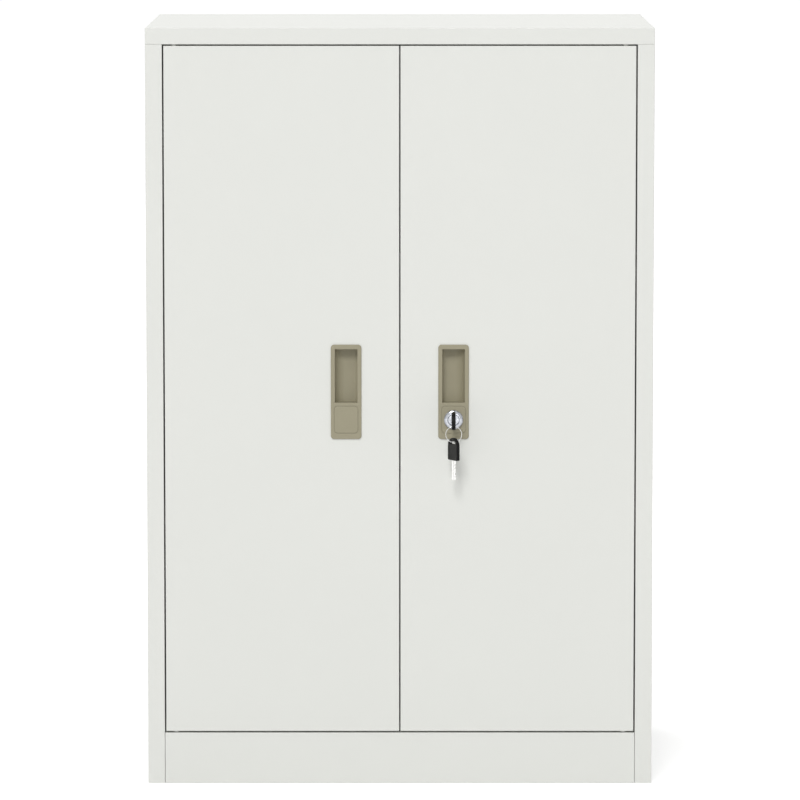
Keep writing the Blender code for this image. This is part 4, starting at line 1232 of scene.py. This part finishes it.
low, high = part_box("rod_driver")
long = STUD_ORBIT + LEVER_HALF
centre = Vector((LOCK.x, low.y, LOCK.z))
end = centre + Vector((long, LEVER_THICK, LEVER_HALF))
plate = box(centre - Vector((long, 0, LEVER_HALF)), end)
bevel_along(plate, REAR, LEVER_HALF * FULL, steps=12)
hole = bar(TAIL + FIT, centre - 0.01 * REAR, centre + 0.01 * REAR, steps=32)
plate = soften(cut(plate, hole), 0.0002)
studs = []
for side in (-1, 1):
    foot = centre + Vector((side * STUD_ORBIT, LEVER_THICK * 0.9, 0))
    studs.append(bar(STUD, foot, (foot.x, high.y, foot.z), steps=24, soft=0.0003))
lever = merged(plate, *studs)
turn(lever, -STUD_TURN, "Y", LOCK)
add_piece("rod_lever", lever, ZINC, "lock_core", ["rod_driver"])

low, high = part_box("driver_screw")
radius = (high.x - low.x) / 2
start = Vector((LOCK.x, high.y - SCREW_HEAD, LOCK.z))
profile = (
    (0, low.y - start.y), (SCREW, low.y - start.y), (SCREW, 0), (radius, 0),
    (radius, SCREW_HEAD * 0.6), (radius * 0.7, SCREW_HEAD), (0, SCREW_HEAD),
)
screw = spun(profile, start, REAR, soft=0.0002, steps=32)
for across, up in (CROSS, CROSS[::-1]):
    screw = cut(screw, block(start, Vector((across, 0, up)), front=-0.0007, rear=0.003))
add_piece("lever_screw", screw, ZINC, "lock_core", ["driver_screw"])

# %% Rods and forks
FORK_THICK = 0.0016
FORK_START = 0.0042
FORK_END = 0.0099
FORK_FAR = 0.0131
FORK_OUT = 0.0047
FORK_JAW = 0.0022
BRIDGE = STUD_RISE + FORK_OUT + 0.0031
BRIDGE_TALL = 0.0035
FORK_FRONT = 0.0193
GUIDE_FOOT = 0.0012
GUIDE_RIVET_OUT = 0.0057
GUIDE_RIVET = ((0, 0), (0.0015, 0), (0.0011, 0.0008), (0, 0.001))


def lock_plate(left, low, right, high):
    """A flat plate in the forks' plane, by two opposite corners from the lock's centre."""
    start = Vector((LOCK.x + left, FRONT + FORK_FRONT, LOCK.z + low))
    return box(start, start + Vector((right - left, FORK_THICK, high - low)))


def fork(side):
    """A square plate with a slot that is open towards the lock and round at its end."""
    middle = side * STUD_RISE
    plate = lock_plate(side * FORK_START, middle - FORK_OUT, side * FORK_FAR, middle + FORK_OUT)
    start = side * (FORK_START - OVERRUN)
    slot = lock_plate(start, middle - FORK_JAW, side * FORK_END, middle + FORK_JAW)
    about = Matrix.Translation(-at(0, FORK_FRONT, 0))
    bmesh.ops.scale(slot, vec=(1, 3, 1), space=about, verts=slot.verts)
    end = LOCK.x + side * FORK_END
    bevel_along(slot, REAR, FORK_JAW * 0.95, steps=8, test=lambda m: abs(m.x - end) < MERGE)
    return cut(plate, slot)


def rod(start, end):
    """A round rod that is rounded at its tip."""
    line = (ROD.x, ROD.y, start), (ROD.x, ROD.y, end)
    return bar(ROD_RADIUS, *line, steps=32, soft=0.0005, soft_steps=3)


low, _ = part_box("lower_rod")
plate = soften(fork(1), 0.0002)
lower = merged(plate, rod(LOCK.z + STUD_RISE - FORK_JAW - FIT, low.z))
add_piece("lower_lock_rod", lower, ZINC, "lower_locking_rod", ["lower_rod"])
_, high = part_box("upper_rod")
bridge_top = BRIDGE + BRIDGE_TALL
web = lock_plate(-FORK_FAR, -STUD_RISE, -FORK_END, bridge_top)
bridge = lock_plate(-FORK_FAR, BRIDGE, ROD.x - LOCK.x + ROD_RADIUS, bridge_top)
plate = soften(join(fork(-1), web, bridge), 0.0002)
upper = merged(plate, rod(LOCK.z + BRIDGE + BRIDGE_TALL / 2, high.z))
add_piece("upper_lock_rod", upper, ZINC, "upper_locking_rod", ["upper_rod"])

for node in ("upper_rod_guide", "lower_rod_guide"):
    low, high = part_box(node)
    hoop = high.y - ROD.y
    foot_back = low.y + GUIDE_FOOT
    foot = box(low, (high.x, foot_back, high.z))
    bevel_along(foot, REAR, radius=0.001)
    saddle_low = (ROD.x - hoop, low.y + GUIDE_FOOT / 2, low.z)
    saddle = box(saddle_low, (ROD.x + hoop, ROD.y, high.z))
    start, end = Vector((ROD.x, ROD.y, low.z)), Vector((ROD.x, ROD.y, high.z))
    guide = join(foot, saddle, bar(hoop, start, end))
    way = OVERRUN * UP
    guide = cut(guide, bar(ROD_RADIUS + FIT, start - way, end + way, steps=32))
    add_piece(f"{node}_saddle", soften(guide, 0.0003), NYLON, "right_door", [node])
    heads = []
    for side in (-1, 1):
        place = Vector((ROD.x + side * GUIDE_RIVET_OUT, foot_back, (low.z + high.z) / 2))
        heads.append(spun(GUIDE_RIVET, place, REAR, steps=16))
    add_piece(f"{node}_rivets", merged(*heads), ZINC, "right_door", smooth_below=60)

# %% [markdown]
# ## Keys
#
# Both keys are alike, so they are drawn once, lying along their own length, and then laid in place:
# one in the lock with its head towards the viewer, and one hanging from the ring with its head up.
# The head is a slab whose top corners are rounded until they meet in a half circle, with a shallow
# panel for the thumb on each side. The blade is a flat bar: planes cross it at each notch, and the
# middle line of each notch is pushed in, deep on one edge where it is shallow on the other.

# %% Key shapes
HEAD_HALF = Vector((0.0022, 0.010, 0))
HEAD_LOW = 0.0075
HEAD_TIP = 0.034
EYE_LEVEL = 0.0284
EYE_HALF = Vector((0.006, 0.0065, 0.0018))
PANEL_HALF = 0.001
PANEL_MARGIN = 0.0026
PANEL_DEEP = 0.0003
BLADE_END = -0.016
BLADE_ROOT = HEAD_LOW + 0.008
NOTCH_HALF = 0.0015
NOTCH_DEEP = 0.0021
NOTCHES = ((0.18, 0.6), (0.34, 1.0), (0.50, 0.45), (0.66, 0.85), (0.82, 0.6))
GROOVE_DEEP = 0.0004
GROOVE_SIDES = (0.0001, 0.0014)
GROOVE_STOP = 0.0015


def bow(half, low, tip, corner):
    """A flat slab that is round at the top."""
    bm = box((-half.x, -half.y, low), (half.x, half.y, tip))
    bevel_along(bm, RIGHT, half.y * FULL, steps=16, test=lambda m: m.z > tip - MERGE)
    bevel_along(bm, RIGHT, corner, steps=5, test=lambda m: m.z < low + MERGE)
    return bm


def key_head():
    head = bow(HEAD_HALF, HEAD_LOW, HEAD_TIP, corner=0.0015)
    rims = [edge for way in (RIGHT, -RIGHT) for edge in furthest(head, way).edges]
    bevel(head, rims, radius=0.0007, steps=4)
    panels = []
    for side in (-1, 1):
        half = Vector((PANEL_HALF, HEAD_HALF.y - PANEL_MARGIN, 0))
        panel = bow(half, HEAD_LOW + PANEL_MARGIN, HEAD_TIP - PANEL_MARGIN, corner=0.002)
        shift(panel, (side * (HEAD_HALF.x - PANEL_DEEP + PANEL_HALF), 0, 0))
        panels.append(panel)
    eye = block(Vector((0, 0, EYE_LEVEL)), EYE_HALF)
    bevel_along(eye, RIGHT, EYE_HALF.z * 0.83, steps=6)
    head = cut(head, merged(*panels), eye)
    head.normal_update()
    # Faces other than the flat sides take the darker rim material: painted shade on the rim and in
    # the eye.
    for face in head.faces:
        face.material_index = int(abs(face.normal.x) > 0.98)
    return head


def key_blade():
    bm = box((-BLADE_HALF.x, -BLADE_HALF.z, BLADE_END), (BLADE_HALF.x, BLADE_HALF.z, BLADE_ROOT))
    for along_share, depth_share in NOTCHES:
        middle = BLADE_END + (COLLAR_FRONT - BLADE_END) * along_share
        for level in (middle - NOTCH_HALF, middle, middle + NOTCH_HALF):
            split(bm, (0, 0, level), UP)
        for side, share in ((-1, depth_share), (1, 1.1 - depth_share)):
            line = [v for v in bm.verts if abs(v.co.z - middle) < MERGE and v.co.y * side > 0]
            shift(bm, (0, -side * NOTCH_DEEP * share, 0), line)
    bevel_along(bm, RIGHT, radius=0.0016, test=lambda m: m.z < BLADE_END + MERGE)
    grooves = []
    for side in (-1, 1):
        start = side * (BLADE_HALF.x - GROOVE_DEEP), GROOVE_SIDES[0], BLADE_END - OVERRUN
        end = side * (BLADE_HALF.x + GROOVE_DEEP), GROOVE_SIDES[1], HEAD_LOW - GROOVE_STOP
        grooves.append(box(start, end))
    return cut(bm, merged(*grooves))


def make_key(prefix, body, laid):
    head, blade = key_head(), key_blade()
    for shape in (head, blade):
        bmesh.ops.transform(shape, matrix=laid, verts=shape.verts)
    add_piece(f"{prefix}key_bow", head, KEY_PLASTIC, body, [f"{prefix}key_head"], smooth_below=40)
    blade = soften(blade, 0.0001)
    add_piece(f"{prefix}key_blank", blade, KEY_STEEL, body, [f"{prefix}key_blade"])


RING_LOW, RING_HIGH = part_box("key_ring")
RING_CENTRE = middle_of("key_ring")
SPARE_TURN = 32
SPARE_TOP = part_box("spare_key_head")[1].z
SPARE_PLACE = Vector((RING_CENTRE.x, RING_CENTRE.y, SPARE_TOP - HEAD_TIP))


def laid_at(place, degrees, axis):
    return Matrix.Translation(place) @ Matrix.Rotation(math.radians(degrees), 4, axis)


make_key("", "key", laid_at(LOCK, 90, "X"))
make_key("spare_", "spare_key", laid_at(SPARE_PLACE, SPARE_TURN, "Z"))

# %% [markdown]
# The ring is a split ring: nearly two turns of wire that lie against each other. A small circle is
# spun round the ring's axis and moved along it a little at each step, and its two ends are closed.

# %% Split ring
WIRE = 0.00034
RING_INSET = 0.0007
RING_STEPS = 120
RING_TURNS = 1.94
RING_START = 200

bm = bmesh.new()
bmesh.ops.create_circle(bm, cap_ends=True, radius=WIRE, segments=10)
turn(bm, 90, "X")
shift(bm, ((RING_HIGH.x - RING_LOW.x) / 2 - RING_INSET, 0, 0))
bmesh.ops.spin(
    bm,
    geom=bm.faces[:] + bm.edges[:] + bm.verts[:],
    cent=(0, 0, 0),
    axis=UP,
    dvec=(0, 0, 2 * WIRE * RING_TURNS / RING_STEPS),
    angle=math.radians(360) * RING_TURNS,
    steps=RING_STEPS,
    use_merge=False,
    use_duplicate=False,
)
shift(bm, (0, 0, -WIRE * RING_TURNS))
turn(bm, RING_START, "Z")
turn(bm, 90, "X")
shift(bm, RING_CENTRE)
bmesh.ops.recalc_face_normals(bm, faces=bm.faces)
add_piece("split_ring", bm, WIRE_STEEL, "ring", ["key_ring"], smooth_below=60)

# %% [markdown]
# ## Studio
#
# The photograph has a pure white ground and soft even light, a little stronger from the upper left.
# The key lamp stands high in front for that. A low lamp fills the kick plate and the keys, one from
# above lifts the top, and two high ones light the rear: any lower, and the top would mirror them.
# The floor is a wide plane that the camera sees as white, apart from the faint shadow that the
# cabinet leaves on it. The camera stands far off with a long lens, a little above the cabinet's
# top.

# %% Floor and world
FLOOR_HALF = 30.0
FLOOR_SHARE = 0.8
PAPER_FADE = (0.45, 1.6)
GLOW_NEAR = 0.43
AMBIENT = 0.445
WHITE = (1, 1, 1, 1)


def seen_directly(tree):
    """1 for camera, glossy and transmission rays, so that metal shows the same white ground."""
    rays = add_node(tree, "LightPath").outputs
    either = maths(tree, "MAXIMUM", rays["Is Camera Ray"], rays["Is Glossy Ray"])
    return maths(tree, "MAXIMUM", either, rays["Is Transmission Ray"])


bm = bmesh.new()
bmesh.ops.create_grid(bm, x_segments=1, y_segments=1, size=FLOOR_HALF)
floor = to_object("studio_floor", bm)
paper = bpy.data.materials.new("white_paper")
paper.use_nodes = True
tree = paper.node_tree
tree.nodes.clear()
matt = add_node(tree, "BsdfDiffuse", [("Color", (FLOOR_SHARE, FLOOR_SHARE, FLOOR_SHARE, 1))])
away = vectors(tree, "LENGTH", object_place(tree))
level = ranged(tree, away, *PAPER_FADE, GLOW_NEAR, 1.0 - FLOOR_SHARE * AMBIENT)
strength = maths(tree, "MULTIPLY", seen_directly(tree), level)
glow = add_node(tree, "Emission", [("Color", WHITE), ("Strength", strength)])
both = add_node(tree, "AddShader", [(0, matt.outputs[0]), (1, glow.outputs[0])])
add_node(tree, "OutputMaterial", [("Surface", both.outputs[0])])
floor.data.materials.append(paper)

world = bpy.data.worlds.new("studio_world")
bpy.context.scene.world = world
world.use_nodes = True
tree = world.node_tree
tree.nodes.clear()
soft = add_node(tree, "Background", [("Color", WHITE), ("Strength", AMBIENT)]).outputs[0]
white = add_node(tree, "Background", [("Color", WHITE), ("Strength", 1.0)]).outputs[0]
either = add_node(tree, "MixShader", [(0, seen_directly(tree)), (1, soft), (2, white)])
add_node(tree, "OutputWorld", [("Surface", either.outputs[0])])

# %% Lamps: place, target, size and power
LAMPS = {
    "key_softbox": ((-3.4, -16.9, 14.0), (0, 0, 0.45), 6.5, 2060.0),
    "front_softbox": ((0.4, -9.0, 0.3), (0, 0, 0.2), 2.4, 70.0),
    "top_softbox": ((0.0, 1.4, 7.5), (0, 0.3, 0.5), 2.4, 87.0),
    "rear_left_softbox": ((-3.0, 4.4, 6.4), (0, 0, 0.5), 2.4, 42.0),
    "rear_right_softbox": ((3.0, 4.4, 6.4), (0, 0, 0.5), 2.4, 42.0),
}

for name, (place, target, size, power) in LAMPS.items():
    light = bpy.data.lights.new(name, "AREA")
    light.shape = "SQUARE"
    light.size = size
    light.energy = power
    lamp = linked(name, light)
    lamp.location = place
    lamp.rotation_euler = (Vector(target) - Vector(place)).to_track_quat("-Z", "Y").to_euler()
print("lamps:", ", ".join(LAMPS))

# %% Camera
CAMERA_AWAY = 6.5
CAMERA_ACROSS = 0.0002
CAMERA_HEIGHT = 1.182
CAMERA_TILT = 6.339

eye = bpy.data.cameras.new("photo_view")
eye.lens = 248.5
eye.sensor_width = 36.0
eye.clip_end = 100.0
camera = linked("photo_view", eye)
camera.location = at(CAMERA_ACROSS, -CAMERA_AWAY, CAMERA_HEIGHT)
camera.rotation_euler = (math.radians(90 - CAMERA_TILT), 0, 0)
bpy.context.scene.camera = camera
bpy.context.scene.view_settings.view_transform = "Standard"
print("camera", tuple(round(c, 3) for c in camera.location), "lens", eye.lens)

# %% The count of pieces, then the end
print("pieces:", len(PIECES))
